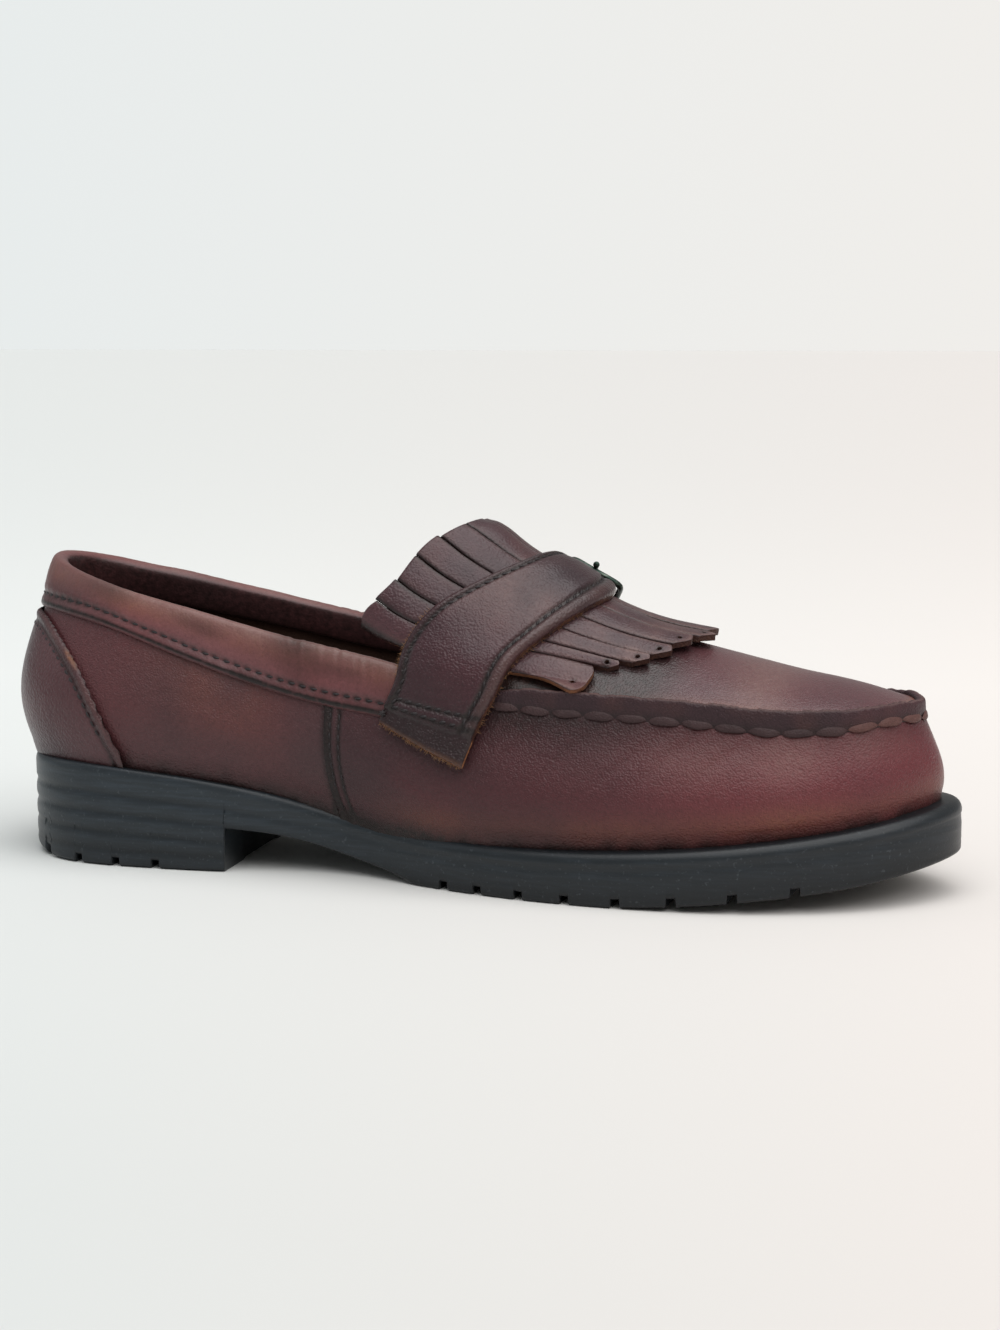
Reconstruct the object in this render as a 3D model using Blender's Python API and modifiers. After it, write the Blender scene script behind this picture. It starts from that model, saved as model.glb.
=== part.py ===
"""Kiltie loafer, left shoe, empty, standing on its heel and forefoot.

The tables are the maker's pattern, in millimetres: x runs from the back of the heel to the toe,
y from the inner side of the foot (negative) to the outer side, and z up from the floor.
pattern_to_shoe grades them to the driving sizes and turns them into metres.
"""
import math

import bmesh
import bpy
import numpy as np
from mathutils import Matrix, Vector

# Driving sizes, in millimetres.
OUTSOLE_LENGTH = 288.0
BALL_WIDTH = 100.0
BACK_HEIGHT = 92.0

# The sizes of the shoe that the pattern tables were drawn for.
PATTERN_LENGTH = 288.0
PATTERN_BALL = 100.0
PATTERN_BACK = 92.0

MM = 0.001
GAP = 0.3
WALL = 2.0
GRADE = np.array(
    [
        OUTSOLE_LENGTH / PATTERN_LENGTH,
        BALL_WIDTH / PATTERN_BALL,
        BACK_HEIGHT / PATTERN_BACK,
    ]
)

# Outsole: its widest edge in plan, from the back of the heel round the inner side, the toe and
# the outer side.
SOLE_COLUMNS = ("x", "y")
SOLE_EDGE = [
    (2, 0),
    (9, -21),
    (27, -32.5),
    (50, -34.5),
    (74, -33.5),
    (98, -29.5),
    (120, -30.5),
    (143, -38.5),
    (168, -45.5),
    (195, -48.8),
    (222, -48.5),
    (246, -43.8),
    (267, -34.5),
    (282.5, -20.5),
    (290, -4.5),
    (285.5, 12),
    (272, 27),
    (251, 38.5),
    (225, 46.5),
    (197, 51),
    (168, 51),
    (140, 46.5),
    (115, 40.5),
    (94, 36.5),
    (72, 34.8),
    (48, 34.8),
    (26, 32.5),
    (9, 21),
]
# Heights along the shoe: the seat that the upper stands on, the rim of the side, and the bottom.
SOLE_HEIGHTS = [
    # x, seat
    (0, 30.6),
    (24, 31.2),
    (48, 29.6),
    (72, 27.0),
    (97, 21.9),
    (113, 18.1),
    (131, 15.5),
    (150, 14.6),
    (181, 15.0),
    (210, 16.8),
    (240, 20.0),
    (267, 24.0),
    (290, 28.4),
]
RIM_DROP = 2.8
TOE_BOTTOM = [
    # x, bottom
    (195, 0.0),
    (212, 1.2),
    (245, 4.6),
    (270, 8.2),
    (291, 12.6),
]
FLAT_END = 195.0
HEEL_BREAST = 74.0
BREAST_SKEW = 3.0
ARCH = [
    # x, underside of the waist
    (74, 13.2),
    (90, 11.6),
    (105, 8.2),
    (120, 4.2),
    (130, 1.6),
    (136, -0.6),
]
# The side of the sole from its rim to the floor: share of the height, and how far it is set in.
SIDE_STEPS = [
    (0.0, 0.9, 0),
    (0.035, 0.0, 0),
    (0.12, 0.0, 0),
    (0.16, 0.9, 1),
    (0.20, 0.0, 0),
    (0.34, 0.0, 0),
    (0.38, 0.9, 1),
    (0.42, 0.0, 0),
    (0.55, 0.0, 0),
    (0.59, 0.9, 1),
    (0.63, 0.0, 0),
    (0.95, 0.0, 0),
    (1.0, 1.0, 0),
]
RIB_END = 112.0
RIB_FADE = 45.0
NOTCH_WIDTH = 2.8
NOTCH_HEIGHT = 2.4
NOTCH_REACH = 15.0
HEEL_NOTCHES = (14, 27, 40, 53)
FOREFOOT_NOTCHES = (145, 156, 169, 183, 198, 214, 231, 248)

# Upper: the feather line where the wall meets the sole, the top edge of the wall, and how far
# the wall swells out between them. The top edge is the collar from the heel to the throat, and
# the seam round the apron from there to the toe.
WALL_COLUMNS = ("foot_x", "foot_y", "top_x", "top_y", "top_z", "belly")
WALL_ROWS = [
    (3.8, 0, 9.0, 0, 90.5, 6.4),
    (9, -16, 14, -12, 89.0, 6.2),
    (24, -27, 27, -19.5, 85.2, 5.8),
    (46, -31, 46, -24.5, 80.4, 5.2),
    (72, -30.8, 70, -27.2, 75.0, 5.0),
    (94, -28, 89, -28.8, 70.6, 5.4),
    (113, -28.5, 104.5, -29.8, 67.6, 5.8),
    (130, -32.8, 122, -31.3, 64.4, 5.4),
    (150, -38.5, 146, -33.6, 59.4, 5.0),
    (175, -42.5, 170, -35.6, 56.5, 5.0),
    (200, -43.8, 196, -36.3, 55.5, 5.0),
    (224, -42.5, 221, -36.0, 54.2, 4.6),
    (246, -38, 242, -33.6, 52.6, 4.2),
    (265, -29.6, 260, -27.2, 53.4, 3.2),
    (277.5, -17.5, 271.5, -17.0, 54.8, 2.6),
    (284, -4.5, 277.5, -4.5, 54.4, 2.4),
    (280.5, 9, 273.5, 8, 54.8, 2.6),
    (268, 22, 262, 19, 53.4, 3.2),
    (248, 33.2, 243, 27.5, 52.6, 4.2),
    (225, 40.8, 221, 33.2, 54.0, 4.8),
    (200, 45.3, 196, 36.2, 55.5, 5.2),
    (174, 46, 170, 37.2, 56.5, 5.4),
    (149, 42.5, 146, 36.2, 60.0, 5.2),
    (130, 38.2, 122, 34.2, 65.6, 5.0),
    (112, 34.8, 104.5, 32.4, 69.0, 5.0),
    (93, 32.8, 89, 30.8, 72.2, 5.0),
    (71, 32, 70, 28.6, 76.4, 5.0),
    (46, 31.2, 46, 25.4, 81.6, 5.2),
    (24, 27, 27, 20.2, 85.8, 5.8),
    (9, 16, 14, 12.2, 89.2, 6.2),
]
BELLY_SKEW = 0.25
THROAT_INNER = 8.0
THROAT_OUTER = 22.0
TOE_INNER = 13.5
TOE_OUTER = 16.5
COUNT = len(WALL_ROWS)

# The ridge line of the instep and apron, from the throat to the toe.
CREST = [
    # x, z
    (140, 106.0),
    (156, 96.6),
    (166, 90.2),
    (176, 84.6),
    (187, 79.0),
    (200, 74.4),
    (217, 70.0),
    (230, 67.4),
    (242, 65.0),
    (254, 62.0),
    (266, 58.6),
    (277.5, 54.4),
]
THROAT_LEAN = 17.0
THROAT_POWER = 0.88
APRON_POWER = 1.1

# The seam ridge round the apron: section as distance out from the wall's top edge, and up.
RIDGE_SECTION = [
    # out, up
    (0.1, -4.0),
    (1.45, -3.1),
    (1.5, 2.7),
    (0.9, 3.4),
    (-0.9, 3.4),
    (-1.5, 2.7),
    (-1.4, -1.1),
]
RIDGE_START = 8.5
RIDGE_END = 21.5
RIDGE_RISE = 0.6

# The band round the collar: how far down the wall it reaches, by station from the heel.
BAND_FOOT = [
    # stations from the heel, rise of its lower edge
    (0, 0.75),
    (1.2, 0.78),
    (2.45, 0.797),
    (3.3, 0.76),
    (4.0, 0.715),
    (4.7, 0.692),
    (5.6, 0.687),
    (6.5, 0.695),
    (7.85, 0.72),
]
BAND_THICK = 1.3
BAND_INSIDE = 0.86
COLLAR_STEP = 4 / 9
BAND_STEPS = 17
BAND_OUTER_END = 7.85
FINE_STEPS = 13

# The counter over the back of the heel: its top edge.
COUNTER_TOP = [
    # stations from the heel, rise of its top edge
    (0, 0.73),
    (0.6, 0.742),
    (1.15, 0.738),
    (1.72, 0.663),
    (2.03, 0.59),
    (2.36, 0.468),
    (2.62, 0.305),
    (2.78, 0.163),
    (2.89, 0.05),
]
COUNTER_FOOT = 0.02
COUNTER_THICK = 1.3
COUNTER_OFF = 0.6

# The kiltie: sections over the instep from its rear edge to the tips of its fringe. Each gives
# the inner end, the crest and the outer end of the top face.
KILTIE_COLUMNS = ("in_x", "in_y", "in_z", "top_x", "top_z", "out_x", "out_y", "out_z")
KILTIE_ROWS = [
    (115.5, -28, 75.5, 147, 106.3, 121, 29.5, 75.5),
    (126, -30.5, 71, 154, 101.0, 131, 32, 71.5),
    (138, -32, 68, 161.5, 96.2, 142, 33.8, 69),
    (150, -33, 66, 169.5, 91.4, 154, 34.8, 67),
    (163, -33.8, 64.2, 178, 86.4, 166, 34.8, 65.0),
    (175, -33.6, 62.8, 190, 80.2, 178, 34.2, 63.6),
    (184, -33.4, 61.9, 203, 75.6, 188, 33.6, 62.6),
    (189, -33.4, 61.2, 218, 73.0, 194, 33.4, 61.8),
]
KILTIE_THICK = 1.9
KILTIE_REAR_POWER = 0.53
KILTIE_LEAN_POWER = 1.15
KILTIE_TIP_POWER = 0.9
STRIPS = 9
STRIP_COLUMNS = (0, 0.33, 0.67, 1.0)
SLIT = 0.5
FAN = 1.3
REAR_SLIT = 1.3
FRONT_SLIT = 4.3
TIP_CUT = 0.28
KILTIE_LINES = (0, 0.65, 1.3, 2, 2.8, 3.6, 4.3, 5.0, 5.7, 6.4, 7)

# The tongue under the kiltie.
TONGUE_LINES = (0.5, 0.9, 1.3, 1.7, 2.1, 2.6, 3.1)
TONGUE_SIDE = 0.86
TONGUE_THICK = 2.0
TONGUE_TUCK = 4.2

# The strap: its near end lies on the wall, then it passes over the kiltie, narrows beside the
# crest and runs through the buckle. Stations and rises are the wall's, u and v the kiltie's.
STRAP_ON_WALL = [
    # rear station, rear rise, front station, front rise
    (7.11, 0.67, 8.23, 0.50),
    (7.24, 0.81, 8.42, 0.78),
    (7.37, 0.97, 8.60, 0.97),
]
STRAP_ON_KILTIE = [
    # u, rear v, front v, lift
    (-1.0, 1.50, 4.05, 0.7),
    (-0.88, 1.65, 4.20, 0.6),
    (-0.70, 1.90, 4.40, 0.6),
    (-0.40, 2.25, 4.60, 0.6),
    (-0.12, 2.50, 4.70, 0.55),
    (0.10, 2.75, 4.62, 0.55),
    (0.24, 3.05, 4.46, 0.5),
    (0.36, 3.28, 4.38, 0.6),
    (0.46, 3.33, 4.34, 0.8),
    (0.54, 3.34, 4.34, 2.8),
    (0.61, 3.34, 4.34, 4.9),
    (0.68, 3.33, 4.33, 5.9),
    (0.78, 3.31, 4.31, 4.5),
    (0.88, 3.28, 4.28, 3.3),
    (0.95, 3.26, 4.26, 2.8),
]
STRAP_THICK = 2.8
STRAP_TIP_THICK = 1.9
STRAP_SKIVED_FROM = 7.5
STRAP_PAD = 0.9
STRAP_OFF_WALL = 2.2
STRAP_COLUMNS = 5
STRAP_STEPS = 2

# The insole and the buckle.
INSOLE_THICK = 2.4
INSOLE_INSET = 0.8
BUCKLE_U = 0.50
BUCKLE_V = 3.84
BUCKLE_ACROSS = 8.8
BUCKLE_ALONG = 8.0
BUCKLE_WIRE = 0.9
BUCKLE_INNER_LIFT = 4.7
BUCKLE_BAR_LIFT = 3.1
BUCKLE_POWER = 0.36
PRONG_RADIUS = 0.7
PRONG_HOOK = 1.8
PRONG_PATH = [
    # along the strap from the buckle's middle, lift: from the bar to the tip
    (5.5, 5.0),
    (1.0, 5.7),
    (-4.5, 6.3),
    (-8.0, 6.5),
    (-9.8, 6.2),
]
PRONG_SLOT = (2.4, 1.2, 8.6)
CHAPE_WIDTH = 12.0
CHAPE_THICK = 1.1
CHAPE_SLOT = (4.0, 5.0, 12.6)
CHAPE_PATH = [
    # along the strap from the bar, lift: the end of the fold, round the bar and back
    (6.5, 2.4),
    (4.5, 2.8),
    (2.0, 4.1),
    (0.2, 4.8),
    (-1.2, 4.3),
    (-1.7, 3.1),
    (-1.2, 1.9),
    (0.2, 1.4),
    (3.0, 0.95),
    (6.5, 0.9),
]
CHAPE_ON_KILTIE = [
    # u, v, lift
    (0.93, 3.85, 0.95),
    (0.99, 3.88, 1.1),
]
CHAPE_ON_WALL = [
    # station, rise, distance out
    (21.22, 0.96, 3.5),
    (21.28, 0.82, 3.0),
    (21.34, 0.62, 1.0),
    (21.38, 0.42, 0.95),
]
CHAPE_TURN = 24.0
CHAPE_SPREAD = 12.5


def pattern_to_shoe(points):
    """Pattern millimetres to metres in the shoe's own frame, graded to the driving sizes."""
    return np.asarray(points, float) * GRADE * MM


def closed_curve(rows):
    """A closed cubic curve through the rows, as a function of the row number."""
    rows = np.array(rows, float)
    count = len(rows)
    ring = np.eye(count)
    system = 4 * ring + np.roll(ring, 1, 0) + np.roll(ring, -1, 0)
    slopes = np.linalg.solve(system, 3 * (np.roll(rows, -1, 0) - np.roll(rows, 1, 0)))

    def at(station):
        station = np.asarray(station, float) % count
        first = np.floor(station).astype(int) % count
        then = (first + 1) % count
        f = (station - np.floor(station))[..., None]
        return (
            (2 * f**3 - 3 * f**2 + 1) * rows[first]
            + (f**3 - 2 * f**2 + f) * slopes[first]
            + (3 * f**2 - 2 * f**3) * rows[then]
            + (f**3 - f**2) * slopes[then]
        )

    return at


def open_curve(knots, rows):
    """A natural cubic curve through the rows, as a function of the knot value."""
    knots = np.array(knots, float)
    rows = np.array(rows, float).reshape(len(knots), -1)
    gaps = np.diff(knots)
    count = len(knots)
    system = np.eye(count)
    right = np.zeros_like(rows)
    for i in range(1, count - 1):
        system[i, i - 1 : i + 2] = gaps[i - 1], 2 * (gaps[i - 1] + gaps[i]), gaps[i]
        right[i] = 6 * (
            (rows[i + 1] - rows[i]) / gaps[i] - (rows[i] - rows[i - 1]) / gaps[i - 1]
        )
    bend = np.linalg.solve(system, right)

    def at(value):
        value = np.clip(np.asarray(value, float), knots[0], knots[-1])
        i = np.clip(np.searchsorted(knots, value) - 1, 0, count - 2)
        gap = gaps[i][..., None]
        a = (knots[i + 1] - value)[..., None] / gap
        b = 1 - a
        return (
            a * rows[i]
            + b * rows[i + 1]
            + ((a**3 - a) * bend[i] + (b**3 - b) * bend[i + 1]) * gap**2 / 6
        )

    return at


def curve_of(table):
    """z as a function of x from a table of two columns."""
    at = open_curve([row[0] for row in table], [row[1] for row in table])
    return lambda x: at(x)[..., 0]


def smooth_step(value, start, end):
    """0 before start, 1 after end, with a soft change between them."""
    share = np.clip((np.asarray(value, float) - start) / (end - start), 0, 1)
    return share * share * (3 - 2 * share)


sole_edge = closed_curve(SOLE_EDGE)
wall_rows = closed_curve(WALL_ROWS)
seat_height = curve_of(SOLE_HEIGHTS)
toe_bottom = curve_of(TOE_BOTTOM)
arch_height = curve_of(ARCH)
crest_height = curve_of(CREST)
kiltie_rows = open_curve(range(len(KILTIE_ROWS)), KILTIE_ROWS)
band_foot = curve_of(BAND_FOOT)
counter_top = curve_of(COUNTER_TOP)


def across(first, second):
    """Unit vectors along the cross product."""
    made = np.cross(first, second)
    return made / np.linalg.norm(made, axis=-1, keepdims=True)


def wall_face(station, rise):
    """The outer face of the wall: rise is 0 at the feather line and 1 at the top edge."""
    station, rise = np.broadcast_arrays(np.asarray(station, float), rise)
    row = wall_rows(station)
    step = 0.01
    ahead = wall_rows(station + step) - wall_rows(station - step)
    out = np.stack([ahead[..., 1], -ahead[..., 0]], -1)
    out /= np.linalg.norm(out, axis=-1, keepdims=True)
    foot_z = seat_height(row[..., 0])
    turn = math.pi * np.clip(rise, 0, 1)
    swell = row[..., 5] * (np.sin(turn) + BELLY_SKEW * np.sin(2 * turn))
    x = row[..., 0] * (1 - rise) + row[..., 2] * rise + out[..., 0] * swell
    y = row[..., 1] * (1 - rise) + row[..., 3] * rise + out[..., 1] * swell
    z = foot_z * (1 - rise) + row[..., 4] * rise
    return np.stack([x, y, z], -1)


def wall(station, rise, out=0.0):
    """The wall's outer face moved out along its normal, in millimetres."""
    step = 0.02
    low, high = np.clip(rise, 0.02, 0.97) - step, np.clip(rise, 0.02, 0.97) + step
    along = wall_face(station + step, rise) - wall_face(station - step, rise)
    up = wall_face(station, high) - wall_face(station, low)
    return wall_face(station, rise) + across(along, up) * np.asarray(out, float)[..., None]


def arch(share, power):
    """The height of an arch at a place across it, from -1 to 1, as a share of its crown."""
    return np.clip(1 - share**2, 0, 1) ** power


def apron_face(over, along):
    """The top of the instep and apron: over runs from the inner edge (0) to the outer edge (1),
    and along from the throat (0) to the toe (1)."""
    over, along = np.broadcast_arrays(np.asarray(over, float), along)
    inner = THROAT_INNER + (TOE_INNER - THROAT_INNER) * along
    outer = THROAT_OUTER + (TOE_OUTER - THROAT_OUTER) * along
    left, right = wall_face(inner, 1.0), wall_face(outer, 1.0)
    front = wall_face(TOE_INNER + (TOE_OUTER - TOE_INNER) * over, 1.0)
    corner_in, corner_out = wall_face(TOE_INNER, 1.0), wall_face(TOE_OUTER, 1.0)
    o, a = over[..., None], along[..., None]
    straight = left * (1 - o) + right * o
    base = straight + a**3 * (front - corner_in * (1 - o) - corner_out * o)
    middle = (left + right) / 2
    lean = THROAT_LEAN * (1 - along) ** 2
    toe_tip = wall_face((TOE_INNER + TOE_OUTER) / 2, 1.0)
    centre_x = middle[..., 0] + lean + along**3 * (toe_tip[0] - middle[..., 0])
    share = 2 * over - 1
    crown = crest_height(centre_x) - middle[..., 2]
    power = THROAT_POWER + (APRON_POWER - THROAT_POWER) * smooth_step(along, 0, 0.15)
    base[..., 0] += lean * arch(share, 1.0)
    base[..., 2] += crown * arch(share, power)
    return base


def strip_mesh(name, points, faces):
    mesh = bpy.data.meshes.new(name)
    mesh.from_pydata([tuple(p) for p in points], [], faces)
    mesh.validate()
    return mesh


def add_object(name, mesh, material, collection):
    obj = bpy.data.objects.new(name, mesh)
    collection.objects.link(obj)
    if material is not None:
        mesh.materials.append(material)
    mesh.shade_smooth()
    mesh.set_sharp_from_angle(angle=math.radians(40))
    return obj


def grid_faces(rows, columns, closed_rows=False, closed_columns=False, start=0):
    """Faces of a grid of points that are numbered row by row."""
    faces = []
    for i in range(rows if closed_rows else rows - 1):
        for j in range(columns if closed_columns else columns - 1):
            k, m = (i + 1) % rows, (j + 1) % columns
            faces.append(
                (
                    start + i * columns + j,
                    start + i * columns + m,
                    start + k * columns + m,
                    start + k * columns + j,
                )
            )
    return faces


def facing_out(mesh):
    """Makes the faces of a closed mesh point outwards."""
    work = bmesh.new()
    work.from_mesh(mesh)
    loose = [vert for vert in work.verts if not vert.link_faces]
    bmesh.ops.delete(work, geom=loose, context="VERTS")
    bmesh.ops.recalc_face_normals(work, faces=work.faces)
    if work.calc_volume(signed=True) < 0:
        bmesh.ops.reverse_faces(work, faces=work.faces)
    work.to_mesh(mesh)
    work.free()
    return mesh


def tube_between(name, sections, closed=False):
    """A solid lofted through rings of points. Open lofts get flat ends."""
    sections = np.asarray(sections, float)
    rings, around = sections.shape[:2]
    faces = grid_faces(rings, around, closed_rows=closed, closed_columns=True)
    if not closed:
        faces.append(tuple(range(around)))
        faces.append(tuple((rings - 1) * around + i for i in reversed(range(around))))
    return facing_out(strip_mesh(name, pattern_to_shoe(sections.reshape(-1, 3)), faces))


def sheet(name, top, bottom, kept=None):
    """A solid between two grids of points, over the cells that are kept."""
    rows, columns = top.shape[:2]
    count = rows * columns
    faces = []
    rim = set()
    for i in range(rows - 1):
        for j in range(columns - 1):
            if kept is not None and not kept[i, j]:
                continue
            k = i * columns + j
            ring = (k, k + 1, k + columns + 1, k + columns)
            faces.append(ring)
            faces.append(tuple(count + n for n in reversed(ring)))
            for a, b in zip(ring, ring[1:] + ring[:1]):
                if (b, a) in rim:
                    rim.remove((b, a))
                else:
                    rim.add((a, b))
    faces += [(b, a, a + count, b + count) for a, b in sorted(rim)]
    points = np.concatenate([top.reshape(-1, 3), bottom.reshape(-1, 3)])
    return facing_out(strip_mesh(name, pattern_to_shoe(points), faces))


def grid_normals(grid):
    """Unit normals of a grid of points."""
    return across(np.gradient(grid, axis=0), np.gradient(grid, axis=1))


def kilt(u, v, lift=0.0):
    """The kiltie's top face: u runs from the inner end (-1) to the outer end (1), v is the row."""
    u, v = np.broadcast_arrays(np.asarray(u, float), np.asarray(v, float))
    step = 0.01

    def face(u, v):
        row = kiltie_rows(v)
        share = (u[..., None] + 1) / 2
        made = row[..., :3] * (1 - share) + row[..., 5:] * share
        base = (row[..., :3] + row[..., 5:]) / 2
        power = KILTIE_REAR_POWER + (KILTIE_TIP_POWER - KILTIE_REAR_POWER) * smooth_step(v, 0, 4)
        made[..., 0] += (row[..., 3] - base[..., 0]) * arch(u, KILTIE_LEAN_POWER)
        made[..., 2] += (row[..., 4] - base[..., 2]) * arch(u, power)
        return made

    inside = np.clip(u, -0.97, 0.97)
    along = face(inside, v + step) - face(inside, v - step)
    over = face(inside + step, v) - face(inside - step, v)
    return face(u, v) + across(along, over) * np.asarray(lift, float)[..., None]


def build_outsole():
    half = 14
    steps = 3
    stations = np.arange(2 * half * steps) / steps
    edge = sole_edge(stations)
    ahead = sole_edge(stations + 0.05) - sole_edge(stations - 0.05)
    out = np.stack([ahead[:, 1], -ahead[:, 0]], -1)
    out /= np.linalg.norm(out, axis=1, keepdims=True)
    x = edge[:, 0]
    ledge = 1.2 + 3.3 * smooth_step(x, 70, 160)
    inside = edge - out * ledge[:, None]
    seat = seat_height(x)
    rim = seat - RIM_DROP
    floor = np.where(x > FLAT_END, toe_bottom(x), 0.0)
    ribs = 1 - smooth_step(x, RIB_END - RIB_FADE, RIB_END)

    def ring(inset, height):
        return np.column_stack([edge - out * np.reshape(inset, (-1, 1)), height])

    rings = [np.column_stack([inside, seat_height(inside[:, 0])])]
    for share, inset, ribbed in SIDE_STEPS:
        rings.append(
            ring(inset * (ribs if ribbed else np.ones_like(x)), rim + (floor - rim) * share)
        )
    count = len(stations)
    faces = grid_faces(len(rings), count, closed_columns=True)
    last = (len(rings) - 1) * count
    for base in (0, last):
        for i in range(half * steps):
            far = [(count - i) % count, count - i - 1]
            faces.append(tuple(dict.fromkeys([base + i, base + i + 1, base + far[1], base + far[0]])))
    points = pattern_to_shoe(np.concatenate(rings))
    return facing_out(strip_mesh("outsole", points, faces))


def box_mesh(low, high):
    """A box between two corners, in pattern millimetres."""
    ends = np.array([low, high], float)
    corners = [ends[[i, j, k], [0, 1, 2]] for i in (0, 1) for j in (0, 1) for k in (0, 1)]
    faces = [(0, 1, 3, 2), (4, 6, 7, 5), (0, 4, 5, 1), (2, 3, 7, 6), (0, 2, 6, 4), (1, 5, 7, 3)]
    return facing_out(strip_mesh("cutter", pattern_to_shoe(corners), faces))


def sole_side(x, side):
    """The y of the outsole's widest edge at x, on the inner (-1) or outer (1) side."""
    stations = np.linspace(0, 14, 400) if side < 0 else np.linspace(14, 28, 400)
    edge = sole_edge(stations)
    return edge[np.argmin(np.abs(edge[:, 0] - x)), 1]


def sole_cutters():
    """The arch between heel and ball, and the notches along the bottom edge."""
    lip = 4.0
    profile = [(HEEL_BREAST, -lip)] + list(ARCH) + [(ARCH[-1][0], -lip)]
    reach = 70.0
    rings = []
    for y in (-reach, reach):
        skew = -BREAST_SKEW * y / reach
        rings.append([(x + skew, y, z) for x, z in profile])
    meshes = [tube_between("arch", rings)]
    for x in HEEL_NOTCHES + FOREFOOT_NOTCHES:
        floor = float(toe_bottom(x)) if x > FLAT_END else 0.0
        for side in (-1, 1):
            edge = sole_side(x, side)
            ends = sorted([edge - side * NOTCH_REACH, edge + side * lip])
            low = (x - NOTCH_WIDTH / 2, ends[0], floor - lip)
            high = (x + NOTCH_WIDTH / 2, ends[1], floor + NOTCH_HEIGHT)
            meshes.append(box_mesh(low, high))
    return meshes


def build_insole():
    stations = np.arange(0, COUNT, 0.5)
    rings = []
    for lift in (GAP, GAP + INSOLE_THICK):
        foot = wall_face(stations, 0.0)
        ahead = wall_face(stations + 0.05, 0.0) - wall_face(stations - 0.05, 0.0)
        out = across(ahead, np.array([0, 0, 1.0]))
        edge = foot - out * (WALL + INSOLE_INSET)
        edge[:, 2] = seat_height(edge[:, 0]) + lift
        rings.append(edge)
    count = len(stations)
    faces = grid_faces(2, count, closed_columns=True)
    for base in (0, count):
        for i in range(count // 2):
            ring = [base + i, base + i + 1, base + count - i - 1, base + (count - i) % count]
            faces.append(tuple(dict.fromkeys(ring)))
    points = pattern_to_shoe(np.concatenate(rings))
    return facing_out(strip_mesh("insole", points, faces))


def collar_stations(steps):
    """Stations either side of the heel, the same for every layer so that their facets match."""
    wide = np.arange(-steps, steps + 1) * COLLAR_STEP
    fine = np.arange(-FINE_STEPS, FINE_STEPS + 1) * COLLAR_STEP / 2
    return np.unique(np.round(np.concatenate([wide, fine]), 6))


def build_upper_skin():
    """The outer skin of the upper: the wall all round, and the instep and apron inside its top
    edge. A Solidify gives it its thickness."""
    rows = 15
    columns = 8
    inner = np.linspace(THROAT_INNER, TOE_INNER, rows + 1)
    outer = np.linspace(THROAT_OUTER, TOE_OUTER, rows + 1)
    front = np.linspace(TOE_INNER, TOE_OUTER, columns + 1)
    collar = COUNT + collar_stations(18)
    stations = np.concatenate([inner[:-1], front[:-1], outer[::-1][:-1], collar[:-1]])
    rises = (0.0, 0.14, 0.32, 0.54, 0.78, 1.0)
    around = len(stations)
    wall_points = np.stack([wall_face(stations, rise) for rise in rises])
    wall_points[0, :, 2] += GAP
    faces = grid_faces(len(rises), around, closed_columns=True)
    top = (len(rises) - 1) * around
    points = [tuple(p) for p in wall_points.reshape(-1, 3)]
    index = np.zeros((rows + 1, columns + 1), int)
    grid = apron_face(
        np.linspace(0, 1, columns + 1)[None, :], np.linspace(0, 1, rows + 1)[:, None]
    )
    for i in range(rows + 1):
        for j in range(columns + 1):
            if j == 0:
                index[i, j] = top + i
            elif i == rows:
                index[i, j] = top + rows + j
            elif j == columns:
                index[i, j] = top + rows + columns + (rows - i)
            else:
                index[i, j] = len(points)
                points.append(tuple(grid[i, j]))
    for i in range(rows):
        for j in range(columns):
            faces.append((index[i, j], index[i, j + 1], index[i + 1, j + 1], index[i + 1, j]))
    mesh = strip_mesh("upper", pattern_to_shoe(points), faces)
    work = bmesh.new()
    work.from_mesh(mesh)
    bmesh.ops.recalc_face_normals(work, faces=work.faces)
    middle = Vector(pattern_to_shoe((145, 0, 45)))
    probe = max(work.faces, key=lambda face: face.calc_center_median().x)
    if probe.normal.dot(probe.calc_center_median() - middle) < 0:
        bmesh.ops.reverse_faces(work, faces=work.faces)
    work.to_mesh(mesh)
    work.free()
    return mesh


def build_ridge():
    stations = np.linspace(RIDGE_START, RIDGE_END, 40)
    step = 0.05
    edge = wall_face(stations, 1.0)
    ahead = wall_face(stations + step, 1.0) - wall_face(stations - step, 1.0)
    out = np.stack([ahead[:, 1], -ahead[:, 0], np.zeros_like(stations)], -1)
    out /= np.linalg.norm(out, axis=1, keepdims=True)
    rise = smooth_step(stations, RIDGE_START - 0.3, RIDGE_START + RIDGE_RISE) * smooth_step(
        -stations, -RIDGE_END - 0.3, -RIDGE_END + RIDGE_RISE
    )
    rings = []
    for i in range(len(stations)):
        ring = [
            edge[i] + out[i] * o + np.array([0, 0, u * rise[i] if u > 0 else u])
            for o, u in RIDGE_SECTION
        ]
        rings.append(ring)
    return tube_between("ridge", rings)


def build_band():
    stations = COUNT + np.append(-BAND_OUTER_END, collar_stations(BAND_STEPS))
    foot = band_foot(np.abs(stations - COUNT))
    far = GAP + BAND_THICK
    up = np.array([0, 0, 1.0])
    middle = (foot + 1) / 2
    inner = WALL + GAP
    ring = [
        wall(stations, foot, GAP),
        wall(stations, foot, far),
        wall(stations, middle, far + 0.2),
        wall(stations, 1.0, far) + up * 0.2,
        wall(stations, 1.0, -0.3) + up * (far + 0.2),
        wall(stations, 1.0, -WALL + 0.3) + up * (far + 0.2),
        wall(stations, 1.0, -inner - BAND_THICK) + up * 0.2,
        wall(stations, BAND_INSIDE, -inner - BAND_THICK),
        wall(stations, BAND_INSIDE, -inner),
        wall(stations, 1.0, -inner) + up * GAP,
        wall(stations, 1.0, GAP) + up * GAP,
        wall(stations, middle, GAP),
    ]
    return tube_between("collar_band", np.stack(ring, axis=1))


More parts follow.
